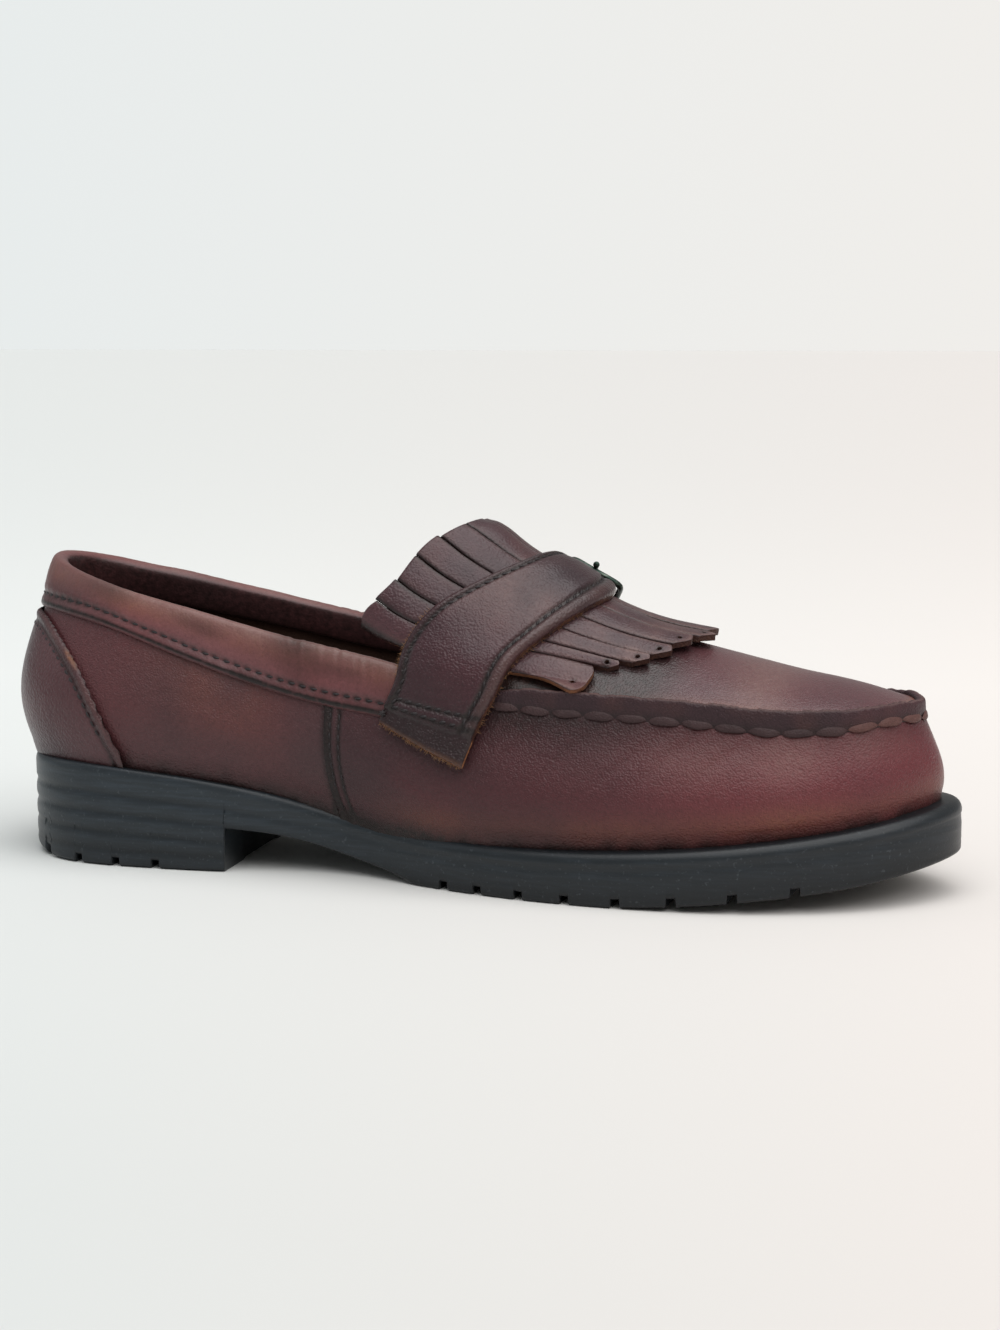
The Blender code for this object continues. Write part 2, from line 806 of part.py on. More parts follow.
def build_counter():
    stations = (np.arange(-FINE_STEPS, FINE_STEPS + 1) * COLLAR_STEP / 2)[:, None]
    share = np.linspace(0, 1, 6)[None, :]
    rise = COUNTER_FOOT + (counter_top(np.abs(stations)) - COUNTER_FOOT) * share
    lower = wall(stations + COUNT, rise, COUNTER_OFF)
    upper = wall(stations + COUNT, rise, COUNTER_OFF + COUNTER_THICK)
    return sheet("heel_counter", upper, lower)


def build_kiltie():
    fan = []
    for strip in range(STRIPS):
        for share in STRIP_COLUMNS:
            fan.append((strip, share))
    width = 2.0 / STRIPS
    lines = []
    for strip, share in fan:
        spread = -1 + width * (strip + share)
        if share in (0, 1) and 0 < strip + share < STRIPS:
            spread += (1 if share == 0 else -1) * SLIT / 110.0
        lines.append(math.sin(spread * FAN) / math.sin(FAN))
    u = np.array(lines)[None, :]
    v = np.array(KILTIE_LINES)[:, None] * np.ones_like(u)
    corner = np.array([TIP_CUT if share in (0, 1) else 0.0 for strip, share in fan])
    v[-1] -= corner
    v[-2] -= corner / 2
    top = kilt(u * np.ones_like(v), v)
    bottom = kilt(u * np.ones_like(v), v, -KILTIE_THICK)
    rows, columns = top.shape[:2]
    kept = np.ones((rows - 1, columns - 1), bool)
    per = len(STRIP_COLUMNS)
    for i in range(rows - 1):
        slit = KILTIE_LINES[i] < REAR_SLIT or KILTIE_LINES[i] >= FRONT_SLIT
        for j in range(per - 1, columns - 1, per):
            kept[i, j] = not slit
    return sheet("kiltie", top, bottom, kept)


def build_tongue():
    v = np.array(TONGUE_LINES)[:, None]
    u = np.sin(np.linspace(-FAN, FAN, 15))[None, :] / math.sin(FAN) * TONGUE_SIDE
    under = 0.5 + TONGUE_TUCK * smooth_step(v, 0.7, 1.9)
    top = kilt(u, v, -(KILTIE_THICK + under))
    bottom = kilt(u, v, -(KILTIE_THICK + under + TONGUE_THICK))
    return sheet("tongue", top, bottom)


def strap_under():
    """The strap's under face: rows along its length, columns across its width."""
    across_share = np.linspace(0, 1, STRAP_COLUMNS + 1)
    rows = []
    for rear_s, rear_r, front_s, front_r in STRAP_ON_WALL:
        station = rear_s + (front_s - rear_s) * across_share
        rise = rear_r + (front_r - rear_r) * across_share
        rows.append(wall(station, rise, STRAP_OFF_WALL))
    for u, rear_v, front_v, lift in STRAP_ON_KILTIE:
        rows.append(kilt(u, rear_v + (front_v - rear_v) * across_share, lift))
    rows = np.array(rows)
    knots = np.arange(len(rows))
    path = open_curve(knots, rows.reshape(len(rows), -1))
    steps = np.linspace(0, knots[-1], knots[-1] * STRAP_STEPS + 1)
    return path(steps).reshape(len(steps), -1, 3), steps


def build_strap():
    under, steps = strap_under()
    out = -grid_normals(under)
    if out[2, 2, 1] > 0:
        out = -out
    share = np.linspace(-1, 1, STRAP_COLUMNS + 1)[None, :, None]
    skive = smooth_step(steps, STRAP_SKIVED_FROM, STRAP_SKIVED_FROM + 3)[:, None, None]
    thick = STRAP_THICK + (STRAP_TIP_THICK - STRAP_THICK) * skive
    pad = STRAP_PAD * (1 - share**2) * (1 - skive)
    pad = pad * smooth_step(steps, 0.5, 2.5)[:, None, None]
    return sheet("strap", under + out * (thick + pad), under)


def buckle_point(over, along, lift):
    """A place by the buckle: over runs to the front of the shoe, along runs down its outer side."""
    step = 0.02
    per_u = kilt(BUCKLE_U + step, BUCKLE_V) - kilt(BUCKLE_U - step, BUCKLE_V)
    per_v = kilt(BUCKLE_U, BUCKLE_V + step) - kilt(BUCKLE_U, BUCKLE_V - step)
    u = BUCKLE_U + along * 2 * step / np.linalg.norm(per_u)
    v = BUCKLE_V + over * 2 * step / np.linalg.norm(per_v)
    return kilt(u, v, lift)


def wire_loop(name, path, radius, closed, sides):
    """A round wire along a path of points."""
    path = np.asarray(path, float)
    if closed:
        ahead = np.roll(path, -1, 0) - np.roll(path, 1, 0)
    else:
        ahead = np.gradient(path, axis=0)
    ahead /= np.linalg.norm(ahead, axis=1, keepdims=True)
    up = buckle_point(0, 0, 1) - buckle_point(0, 0, 0)
    if not closed:
        up = buckle_point(1, 0, 0) - buckle_point(-1, 0, 0)
    side = across(ahead, up)
    lift = np.cross(side, ahead)
    angle = (np.arange(sides) + 0.5) * 2 * math.pi / sides
    ring = (
        path[:, None]
        + radius * np.cos(angle)[None, :, None] * side[:, None]
        + radius * np.sin(angle)[None, :, None] * lift[:, None]
    )
    return tube_between(name, ring, closed=closed)


def build_buckle_frame():
    angle = np.arange(28) * 2 * math.pi / 28
    cos, sin = np.cos(angle), np.sin(angle)
    over = BUCKLE_ACROSS * np.sign(cos) * np.abs(cos) ** BUCKLE_POWER
    along = BUCKLE_ALONG * np.sign(sin) * np.abs(sin) ** BUCKLE_POWER
    share = (along / BUCKLE_ALONG + 1) / 2
    lift = BUCKLE_INNER_LIFT + (BUCKLE_BAR_LIFT - BUCKLE_INNER_LIFT) * share
    path = [buckle_point(*row) for row in zip(over, along, lift)]
    return wire_loop("buckle_frame", path, BUCKLE_WIRE, True, 6)


def build_buckle_prong():
    path = []
    for degrees in (-150, -110, -70, -30, 10, 50, 90):
        turn = math.radians(degrees)
        along = BUCKLE_ALONG + PRONG_HOOK * math.cos(turn)
        path.append((along, BUCKLE_BAR_LIFT + PRONG_HOOK * math.sin(turn)))
    points = [buckle_point(0.0, along, lift) for along, lift in path + PRONG_PATH]
    return wire_loop("buckle_prong", points, PRONG_RADIUS, False, 6)


def buckle_slot(slot):
    """A cutter for a slot by the buckle: its width, and its two ends along the strap."""
    width, start, end = slot
    rings = []
    for lift in (-0.4, 12.0):
        corners = [(-1, start), (1, start), (1, end), (-1, end)]
        rings.append([buckle_point(side * width / 2, along, lift) for side, along in corners])
    return tube_between("slot", rings)


def build_chape():
    half = CHAPE_WIDTH / 2
    sides = (-half, 0.0, half)
    rows = []
    for along, lift in CHAPE_PATH:
        rows.append([buckle_point(o, BUCKLE_ALONG + along, lift) for o in sides])
    for u, v, lift in CHAPE_ON_KILTIE:
        rows.append([kilt(u, v + o / CHAPE_SPREAD, lift) for o in sides])
    for station, rise, out in CHAPE_ON_WALL:
        rows.append([wall(station - o / CHAPE_TURN, rise, out) for o in sides])
    rows = np.array(rows)
    knots = np.arange(len(rows))
    path = open_curve(knots, rows.reshape(len(rows), -1))
    steps = np.linspace(0, knots[-1], int(knots[-1] * 1.5) + 1)
    middle = path(steps).reshape(len(steps), -1, 3)
    out = grid_normals(middle)
    return sheet("buckle_chape", middle + out * CHAPE_THICK / 2, middle - out * CHAPE_THICK / 2)


def main():
    for obj in list(bpy.data.objects):
        bpy.data.objects.remove(obj, do_unlink=True)
    shoe = bpy.data.collections.new("kiltie_loafer")
    helpers = bpy.data.collections.new("cutters")
    helpers.hide_render = True
    bpy.context.scene.collection.children.link(shoe)
    bpy.context.scene.collection.children.link(helpers)

    def material(name, colour, roughness, metallic=0.0):
        made = bpy.data.materials.new(name)
        made.use_nodes = True
        shader = made.node_tree.nodes["Principled BSDF"]
        shader.inputs["Base Color"].default_value = (*colour, 1)
        shader.inputs["Roughness"].default_value = roughness
        shader.inputs["Metallic"].default_value = metallic
        return made

    def cutter(name, mesh):
        obj = add_object(name, mesh, None, helpers)
        obj.hide_render = True
        obj.display_type = "WIRE"
        return obj

    leather = material("burgundy_leather", (0.105, 0.035, 0.032), 0.45)
    trim = material("dark_trim_leather", (0.07, 0.027, 0.024), 0.5)
    rubber = material("black_rubber", (0.012, 0.013, 0.016), 0.55)
    lining = material("brown_lining", (0.06, 0.03, 0.022), 0.85)
    metal = material("blackened_metal", (0.04, 0.045, 0.042), 0.35, 1.0)

    outsole = add_object("outsole", build_outsole(), rubber, shoe)
    for i, mesh in enumerate(sole_cutters()):
        cut = outsole.modifiers.new(f"cut_{i:02d}", "BOOLEAN")
        cut.operation = "DIFFERENCE"
        cut.solver = "EXACT"
        cut.object = cutter(f"sole_cut_{i:02d}", mesh)
    add_object("insole", build_insole(), lining, shoe)

    upper = add_object("upper", build_upper_skin(), leather, shoe)
    shell = upper.modifiers.new("wall", "SOLIDIFY")
    shell.thickness = WALL * MM
    shell.offset = -1
    shell.use_even_offset = True
    shell.use_quality_normals = True
    ridge = upper.modifiers.new("ridge", "BOOLEAN")
    ridge.operation = "UNION"
    ridge.solver = "EXACT"
    ridge.object = cutter("ridge_seam", build_ridge())

    add_object("heel_counter", build_counter(), trim, shoe)
    add_object("collar_band", build_band(), leather, shoe)
    add_object("tongue", build_tongue(), lining, shoe)
    add_object("kiltie", build_kiltie(), trim, shoe)
    strap = add_object("strap", build_strap(), trim, shoe)
    add_object("buckle_frame", build_buckle_frame(), metal, shoe)
    add_object("buckle_prong", build_buckle_prong(), metal, shoe)
    chape = add_object("buckle_chape", build_chape(), trim, shoe)
    for leather_piece, slot in ((strap, PRONG_SLOT), (chape, CHAPE_SLOT)):
        cut = leather_piece.modifiers.new("slot", "BOOLEAN")
        cut.operation = "DIFFERENCE"
        cut.solver = "EXACT"
        cut.object = cutter(f"{leather_piece.name}_slot", buckle_slot(slot))

    # The origin goes to the middle of the bounding box, on the floor.
    bpy.context.view_layer.update()
    graph = bpy.context.evaluated_depsgraph_get()
    corners = []
    for obj in shoe.objects:
        mesh = obj.evaluated_get(graph).to_mesh()
        corners += [obj.matrix_world @ vert.co for vert in mesh.vertices]
    corners = np.array(corners)
    low, high = corners.min(axis=0), corners.max(axis=0)
    shift = Vector((-(low[0] + high[0]) / 2, -(low[1] + high[1]) / 2, -low[2]))
    for obj in list(shoe.objects) + list(helpers.objects):
        obj.data.transform(Matrix.Translation(shift))


main()
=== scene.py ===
"""Kiltie loafer: the finish of every surface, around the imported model."""
import math

import bmesh
import bpy
import numpy as np
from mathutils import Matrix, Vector


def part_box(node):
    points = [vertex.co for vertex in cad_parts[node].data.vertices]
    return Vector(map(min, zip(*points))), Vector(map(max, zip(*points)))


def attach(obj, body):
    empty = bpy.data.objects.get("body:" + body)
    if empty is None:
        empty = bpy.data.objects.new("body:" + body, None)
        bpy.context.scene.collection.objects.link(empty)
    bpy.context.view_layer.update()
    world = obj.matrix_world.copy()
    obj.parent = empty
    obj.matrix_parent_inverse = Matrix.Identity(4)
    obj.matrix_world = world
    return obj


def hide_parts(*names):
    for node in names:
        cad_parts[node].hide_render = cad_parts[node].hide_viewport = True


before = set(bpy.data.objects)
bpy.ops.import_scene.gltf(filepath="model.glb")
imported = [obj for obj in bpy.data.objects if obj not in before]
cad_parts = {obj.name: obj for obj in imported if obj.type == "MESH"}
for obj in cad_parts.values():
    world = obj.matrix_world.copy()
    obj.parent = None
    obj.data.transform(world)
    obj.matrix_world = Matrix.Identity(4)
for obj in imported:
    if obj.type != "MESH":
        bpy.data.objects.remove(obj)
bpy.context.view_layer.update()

# Outsole: one moulding of satin black rubber, cemented to the upper. It has a rounded lip round
# the top, soft grooves round the heel, an arched waist, and notches along its bottom edge.
# The tables are in millimetres: x from the back of the heel to the toe, y from the inner side
# (negative) to the outer side, and z up from the floor.
MM = 0.001
SOLE_EDGE = [
    # x, y
    (2, 0),
    (9, -21),
    (27, -32.5),
    (50, -34.5),
    (74, -33.5),
    (98, -29.5),
    (120, -30.5),
    (143, -38.5),
    (168, -45.5),
    (195, -48.8),
    (222, -48.5),
    (246, -43.8),
    (267, -34.5),
    (282.5, -20.5),
    (290, -4.5),
    (285.5, 12),
    (272, 27),
    (251, 38.5),
    (225, 46.5),
    (197, 51),
    (168, 51),
    (140, 46.5),
    (115, 40.5),
    (94, 36.5),
    (72, 34.8),
    (48, 34.8),
    (26, 32.5),
    (9, 21),
]
SEAT = [
    # x, height of the seat that the upper stands on
    (0, 30.6),
    (24, 31.2),
    (48, 29.6),
    (72, 27.0),
    (97, 21.9),
    (113, 18.1),
    (131, 15.5),
    (150, 14.6),
    (181, 15.0),
    (210, 16.8),
    (240, 20.0),
    (267, 24.0),
    (290, 28.4),
]
TOE_SPRING = [
    # x, height of the bottom
    (195, 0.0),
    (212, 1.2),
    (245, 4.6),
    (270, 8.2),
    (291, 12.6),
]
WAIST = [
    # x, height of the underside
    (74, 13.2),
    (90, 11.6),
    (105, 8.2),
    (120, 4.2),
    (130, 1.6),
    (136, -0.6),
]
SOLE_ROWS = len(SOLE_EDGE)
TOE_STATION = SOLE_ROWS / 2
FLAT_END = 195.0
BREAST = 75.0
LIP_WIDE, LIP_HIGH = 2.9, 3.6
GROOVES = (0.17, 0.385, 0.6, 0.8)
GROOVE_DEPTHS = (0.5, 0.52, 0.42, 0.25)
GROOVE_WIDE = 1.05
GROOVE_FADE = (58.0, 114.0)
HEEL_NOTCHES = (14, 27, 40, 53)
FOREFOOT_NOTCHES = (145, 156, 169, 183, 198, 214, 231, 248)
NOTCH_WIDE, NOTCH_HIGH, NOTCH_REACH = 2.8, 2.4, 15.0
SOLE_STATIONS = 430
LIP_RINGS, SIDE_RINGS, UNDER_COLUMNS = 9, 34, 40
UNDER_NEAR = (0.8, 2.0, 4.0, 7.0, 11.0)
FORE_DARK = 0.5


def closed_curve(rows):
    """A closed cubic curve through the rows, as a function of the row number."""
    rows = np.array(rows, float)
    count = len(rows)
    ring = np.eye(count)
    system = 4 * ring + np.roll(ring, 1, 0) + np.roll(ring, -1, 0)
    slopes = np.linalg.solve(system, 3 * (np.roll(rows, -1, 0) - np.roll(rows, 1, 0)))

    def at(station):
        station = np.asarray(station, float) % count
        first = np.floor(station).astype(int) % count
        then = (first + 1) % count
        f = (station - np.floor(station))[..., None]
        return (
            (2 * f**3 - 3 * f**2 + 1) * rows[first]
            + (f**3 - 2 * f**2 + f) * slopes[first]
            + (3 * f**2 - 2 * f**3) * rows[then]
            + (f**3 - f**2) * slopes[then]
        )

    return at


def open_curve(knots, rows):
    """A natural cubic curve through the rows, as a function of the knot value."""
    knots = np.array(knots, float)
    rows = np.array(rows, float).reshape(len(knots), -1)
    gaps = np.diff(knots)
    count = len(knots)
    system = np.eye(count)
    right = np.zeros_like(rows)
    for i in range(1, count - 1):
        system[i, i - 1 : i + 2] = gaps[i - 1], 2 * (gaps[i - 1] + gaps[i]), gaps[i]
        right[i] = 6 * (
            (rows[i + 1] - rows[i]) / gaps[i] - (rows[i] - rows[i - 1]) / gaps[i - 1]
        )
    bend = np.linalg.solve(system, right)

    def at(value):
        value = np.clip(np.asarray(value, float), knots[0], knots[-1])
        i = np.clip(np.searchsorted(knots, value) - 1, 0, count - 2)
        gap = gaps[i][..., None]
        a = (knots[i + 1] - value)[..., None] / gap
        b = 1 - a
        return (
            a * rows[i]
            + b * rows[i + 1]
            + ((a**3 - a) * bend[i] + (b**3 - b) * bend[i + 1]) * gap**2 / 6
        )

    return at


def curve_of(table):
    """The second column as a function of the first."""
    at = open_curve([row[0] for row in table], [row[1] for row in table])
    return lambda x: at(x)[..., 0]


def smooth_step(value, start, end):
    """0 before start, 1 after end, with a soft change between them."""
    share = np.clip((np.asarray(value, float) - start) / (end - start), 0, 1)
    return share * share * (3 - 2 * share)


def hump(value, middle, width):
    """1 at the middle, falling softly to 0 on both sides."""
    return np.exp(-(((np.asarray(value, float) - middle) / width) ** 2))


def lumps(points, size, seed):
    """Smooth noise from -1 to 1 over points, with lumps about size millimetres across."""
    place = np.asarray(points, float) / size + seed * 7.31
    cell = np.floor(place).astype(np.int64)
    f = place - cell
    f = f * f * (3 - 2 * f)
    total = np.zeros(place.shape[:-1])
    for corner in range(8):
        step = np.array([corner & 1, corner >> 1 & 1, corner >> 2 & 1])
        c = cell + step
        key = (c[..., 0] * 73856093) ^ (c[..., 1] * 19349663) ^ (c[..., 2] * 83492791)
        key = (key ^ (seed * 2971215)) & 0xFFFFF
        key = (key * 7919 + (key >> 7) * 104729 + 12289) & 0xFFFF
        weight = np.prod(np.where(step, f, 1 - f), axis=-1)
        total += (key / 32767.5 - 1) * weight
    return total


def unit(vectors):
    return vectors / np.maximum(np.linalg.norm(vectors, axis=-1, keepdims=True), 1e-9)


sole_edge = closed_curve(SOLE_EDGE)
seat_height = curve_of(SEAT)
toe_spring = curve_of(TOE_SPRING)
waist_height = curve_of(WAIST)

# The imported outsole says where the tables' origin lies in the shoe's own frame.
sole_low, sole_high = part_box("outsole")
plan = sole_edge(np.arange(3 * SOLE_ROWS) / 3)
SHIFT = np.array(
    [
        sole_low.x / MM - plan[:, 0].min(),
        (sole_low.y + sole_high.y) / 2 / MM - (plan[:, 1].min() + plan[:, 1].max()) / 2,
        sole_low.z / MM,
    ]
)


def grid_quads(rows, columns, closed_rows=False, closed_columns=False, start=0):
    """Faces of a grid of points that are numbered row by row."""
    i = np.arange(rows if closed_rows else rows - 1)[:, None]
    j = np.arange(columns if closed_columns else columns - 1)[None, :]
    k, m = (i + 1) % rows, (j + 1) % columns
    corners = [i * columns + j, i * columns + m, k * columns + m, k * columns + j]
    return (np.stack(corners, -1).reshape(-1, 4) + start).tolist()


def number_quads(index):
    """Faces of a grid of point numbers. A corner that repeats is dropped."""
    faces = []
    for i in range(index.shape[0] - 1):
        for j in range(index.shape[1] - 1):
            corners = index[i, j], index[i, j + 1], index[i + 1, j + 1], index[i + 1, j]
            faces.append([int(n) for n in dict.fromkeys(corners)])
    return faces


def add_object(name, data, place=(0, 0, 0), looks=None):
    """An object in the scene. looks is the way that a lamp or the camera points."""
    made = bpy.data.objects.new(name, data)
    made.location = place
    if looks is not None:
        made.rotation_euler = Vector(looks).to_track_quat("-Z", "Y").to_euler()
    bpy.context.scene.collection.objects.link(made)
    return made


def shoe_piece(name, points, faces, finish, nodes=(), masks=None, outward=None):
    """One piece of the shoe from points in table millimetres. masks are numbers from 0 to 1 at
    each point, which its finish reads. A closed mesh is turned to face out; for an open one,
    outward is the number of a face and the way that it looks."""
    points = np.asarray(points, float)
    mesh = bpy.data.meshes.new(name)
    mesh.from_pydata(((points.reshape(-1, 3) + SHIFT) * MM).tolist(), [], faces)
    mesh.update()
    for mask, values in (masks or {}).items():
        layer = mesh.attributes.new(mask, "FLOAT", "POINT")
        values = np.broadcast_to(np.clip(values, 0, 1), points.shape[:-1]).ravel()
        layer.data.foreach_set("value", np.ascontiguousarray(values, np.float32))
    work = bmesh.new()
    work.from_mesh(mesh)
    bmesh.ops.recalc_face_normals(work, faces=work.faces)
    if outward is None:
        turned = work.calc_volume(signed=True) < 0
    else:
        work.faces.ensure_lookup_table()
        turned = work.faces[outward[0]].normal.dot(Vector(outward[1])) < 0
    if turned:
        bmesh.ops.reverse_faces(work, faces=work.faces)
    work.to_mesh(mesh)
    work.free()
    mesh.shade_smooth()
    mesh.materials.append(finish)
    piece = add_object(name, mesh)
    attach(piece, "root")
    if nodes:
        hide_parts(*nodes)


def sole_station(x, side):
    """The station of the sole's edge at x on the inner (-1) or outer (1) side, from the heel."""
    stations = np.linspace(0, TOE_STATION, 1200)
    edge = sole_edge(stations if side < 0 else SOLE_ROWS - stations)
    return float(np.interp(x, edge[:, 0], stations))


def outsole_shape():
    """The points and faces of the outsole, with a dark mask of painted shade: on the lip under the upper,
    in its grooves, at its bottom corner, down its side towards the bottom, and over the underside.
    """
    notches = []
    breaks = [sole_station(BREAST, -1)]
    for x in HEEL_NOTCHES + FOREFOOT_NOTCHES:
        for side in (-1, 1):
            ends = [sole_station(x + d * NOTCH_WIDE / 2, side) for d in (-1, 1)]
            notches.append((side, *ends))
            breaks += ends
    sharp = 0.004
    stations = np.linspace(0, TOE_STATION, SOLE_STATIONS)
    near = np.min(np.abs(stations[:, None] - np.array(breaks)[None, :]), axis=1)
    pairs = [value + d for value in breaks for d in (-sharp, sharp)]
    stations = np.unique(np.concatenate([stations[near > 2 * sharp], pairs]))
    half = len(stations)
    ring = np.concatenate([stations, SOLE_ROWS - stations[1:-1][::-1]])
    folded = np.minimum(ring, SOLE_ROWS - ring)
    side = np.where(ring <= TOE_STATION, -1, 1)
    edge = sole_edge(ring)
    ahead = sole_edge(ring + 0.05) - sole_edge(ring - 0.05)
    out = unit(np.stack([ahead[:, 1], -ahead[:, 0]], -1))
    x = edge[:, 0]

    def underside(x, folded, depth, side):
        """The height of the bottom, depth millimetres in from the edge of that side."""
        base = np.where(x > FLAT_END, toe_spring(x), 0.0)
        arched = (folded > breaks[0]) & (x < WAIST[-1][0])
        base = np.where(arched, np.maximum(waist_height(x), base), base)
        cut = np.zeros(base.shape, bool)
        for notch_side, first, last in notches:
            cut |= (side == notch_side) & (folded > first) & (folded < last)
        return base + NOTCH_HIGH * (cut & (depth < NOTCH_REACH)), base

    bottom, plain_bottom = underside(x, folded, np.zeros_like(x), side)
    ledge = 1.2 + 3.3 * smooth_step(x, 70, 160)
    lip = np.minimum(ledge, LIP_WIDE)
    seat = seat_height((edge - out * ledge[:, None])[:, 0])
    rim = seat - LIP_HIGH
    floor = np.where(x > FLAT_END, toe_spring(x), 0.0)
    fade = 1 - smooth_step(x, *GROOVE_FADE)
    corner = 1.1 + 3.4 * (1 - smooth_step(x, 3, 24)) * (plain_bottom < 1)
    rings, dark = [], []

    def add_ring(inset, height, mask):
        inset = np.broadcast_to(inset, x.shape)
        rings.append(np.column_stack([edge - out * inset[:, None], height]))
        dark.append(np.broadcast_to(mask, x.shape))

    # Painted shade: the ledge and the top of the lip, under the upper's edge, carry the dark mask.
    add_ring(ledge + 3.0, seat - 0.1, 1.0)
    add_ring(ledge + 0.4, seat, 0.8)
    for turn in np.linspace(0, math.pi / 2, LIP_RINGS):
        swell = 0.12 * np.sin(2 * turn)
        add_ring(lip * (1 - math.sin(turn)) - swell, seat - LIP_HIGH * (1 - math.cos(turn)),
                 0.5 * (1 - math.sin(turn)))
    for share in np.linspace(0, 1, SIDE_RINGS + 1)[1:]:
        height = rim + (bottom - rim) * share
        level = (rim - height) / (rim - floor)
        tall = rim - floor
        inset = np.zeros_like(x)
        mask = np.zeros_like(x)
        # The dark mask here is painted shade in the grooves, at the bottom corner, and darker down the
        # side towards the bottom.
        for place, depth in zip(GROOVES, GROOVE_DEPTHS):
            cut = hump((level - place) * tall, 0, GROOVE_WIDE)
            inset += depth * fade * cut
            mask += 0.5 * fade * cut
        inset += 0.22 * hump((level - 0.1) * tall, 0, 1.6) * (1 - fade)
        above = height - bottom
        rounding = np.clip(1 - above / corner, 0, 1)
        inset += corner * (1 - np.sqrt(1 - rounding**2))
        mask += 0.35 * hump(above, 0, 1.5) + 0.5 * smooth_step(level, 0.25, 1.0)
        streak = lumps(np.column_stack([x * 0.12, edge[:, 1] * 0.12, height * 1.2]), 1.0, 4)
        inset += 0.05 * streak
        add_ring(inset, height, np.clip(mask, 0, 1))
    points = np.concatenate(rings)
    masks = np.concatenate(dark)
    around = len(ring)
    inner_row = np.arange(half)
    outer_row = (around - inner_row) % around
    faces = grid_quads(len(rings), around, closed_columns=True)
    faces += number_quads(np.column_stack([inner_row, outer_row]))
    last = (len(rings) - 1) * around
    low_in, low_out = rings[-1][inner_row], rings[-1][outer_row]
    wide = np.linalg.norm(low_out[:, :2] - low_in[:, :2], axis=1)
    near_edge = np.array([*UNDER_NEAR, NOTCH_REACH - 0.05, NOTCH_REACH + 0.05])
    near_edge = near_edge[None, :] * np.minimum(1, wide / 45)[:, None]
    span = np.linspace(0, 1, UNDER_COLUMNS - 2 * near_edge.shape[1] + 2)[1:-1]
    left = near_edge[:, -1:]
    middle = left + (wide[:, None] - 2 * left) * span[None, :]
    depth_in = np.concatenate([near_edge, middle, wide[:, None] - near_edge[:, ::-1]], axis=1)
    share = depth_in / np.maximum(wide, 1e-6)[:, None]
    under = low_in[:, None, :] * (1 - share[..., None]) + low_out[:, None, :] * share[..., None]
    nearer = np.minimum(depth_in, wide[:, None] - depth_in)
    nearer_side = np.where(share < 0.5, -1, 1)
    rows = np.broadcast_to(stations[:, None], share.shape)
    reach = np.minimum(1, wide / 45)[:, None]
    height, plain = underside(under[..., 0], rows, nearer / np.maximum(reach, 0.01), nearer_side)
    panel = smooth_step(nearer, 17, 18.5) * (plain < 0.6 + (under[..., 0] > FLAT_END) * 12)
    ribs = 0.5 * (1 + np.sign(np.sin(under[..., 0] * 2 * math.pi / 5.2)))
    under[..., 2] = height + 0.7 * panel * ribs
    inside = share.shape[1]
    start = len(points)
    points = np.concatenate([points, under[1:-1].reshape(-1, 3)])
    masks = np.concatenate([masks, (0.3 + 0.4 * panel[1:-1] * ribs[1:-1]).ravel()])
    index = np.empty((half, inside + 2), int)
    index[:, 0] = last + inner_row
    index[:, -1] = last + outer_row
    index[0, :], index[-1, :] = last, last + half - 1
    index[1:-1, 1:-1] = start + np.arange((half - 2) * inside).reshape(half - 2, inside)
    faces += number_quads(index)
    return points, faces, masks


def linear(code):
    """A colour written as six hex digits, as the shader wants it."""
    values = [int(code[i : i + 2], 16) / 255 for i in (0, 2, 4)]
    return (*[v / 12.92 if v <= 0.04045 else ((v + 0.055) / 1.055) ** 2.4 for v in values], 1.0)


def new_group(name, inputs, outputs):
    """A shader node group with named sockets: each is (name, kind) or (name, kind, value)."""
    tree = bpy.data.node_groups.new(name, "ShaderNodeTree")
    for label, kind, *value in inputs:
        socket = tree.interface.new_socket(label, in_out="INPUT", socket_type="NodeSocket" + kind)
        if value:
            socket.default_value = value[0]
    for label, kind in outputs:
        tree.interface.new_socket(label, in_out="OUTPUT", socket_type="NodeSocket" + kind)
    return tree, tree.nodes.new("NodeGroupInput").outputs, tree.nodes.new("NodeGroupOutput").inputs


def feed(tree, socket, value):
    """Links an output to a socket, or sets the socket. A hex code is a colour."""
    if isinstance(value, bpy.types.NodeSocket):
        tree.links.new(value, socket)
    else:
        socket.default_value = linear(value) if isinstance(value, str) else value


def node(tree, kind, sockets=None, **settings):
    """A node with its settings, and its inputs linked or set."""
    made = tree.nodes.new("ShaderNode" + kind)
    for setting, value in settings.items():
        setattr(made, setting, value)
    for label, value in (sockets or {}).items():
        feed(tree, made.inputs[label], value)
    return made


def sums(tree, operation, first, second):
    """The result of a sum of two values."""
    return node(tree, "Math", {0: first, 1: second}, operation=operation).outputs[0]


def vector_sum(tree, operation, first, second, result="Value"):
    return node(tree, "VectorMath", {0: first, 1: second}, operation=operation).outputs[result]


def blended(tree, share, first, second, kind="MIX"):
    """A colour between two colours."""
    made = node(tree, "Mix", {0: share, 6: first, 7: second}, data_type="RGBA", blend_type=kind)
    return made.outputs[2]


def noise(tree, place, scale, detail):
    return node(tree, "TexNoise", {"Vector": place, "Scale": scale, "Detail": detail}).outputs[0]


def ranged(tree, value, low, high, start=0.0, end=1.0):
    """The value's stretch from start to end, turned into one from low to high."""
    sockets = {"Value": value, "From Min": start, "From Max": end, "To Min": low, "To Max": high}
    return node(tree, "MapRange", sockets).outputs[0]


def mask_of(tree, name):
    """The mask that the piece's points carry."""
    return node(tree, "Attribute", attribute_name=name).outputs["Fac"]


def new_finish(name):
    """A material, its tree, and the place on the object."""
    made = bpy.data.materials.new(name)
    made.use_nodes = True
    return made, made.node_tree, node(made.node_tree, "TexCoord").outputs["Object"]


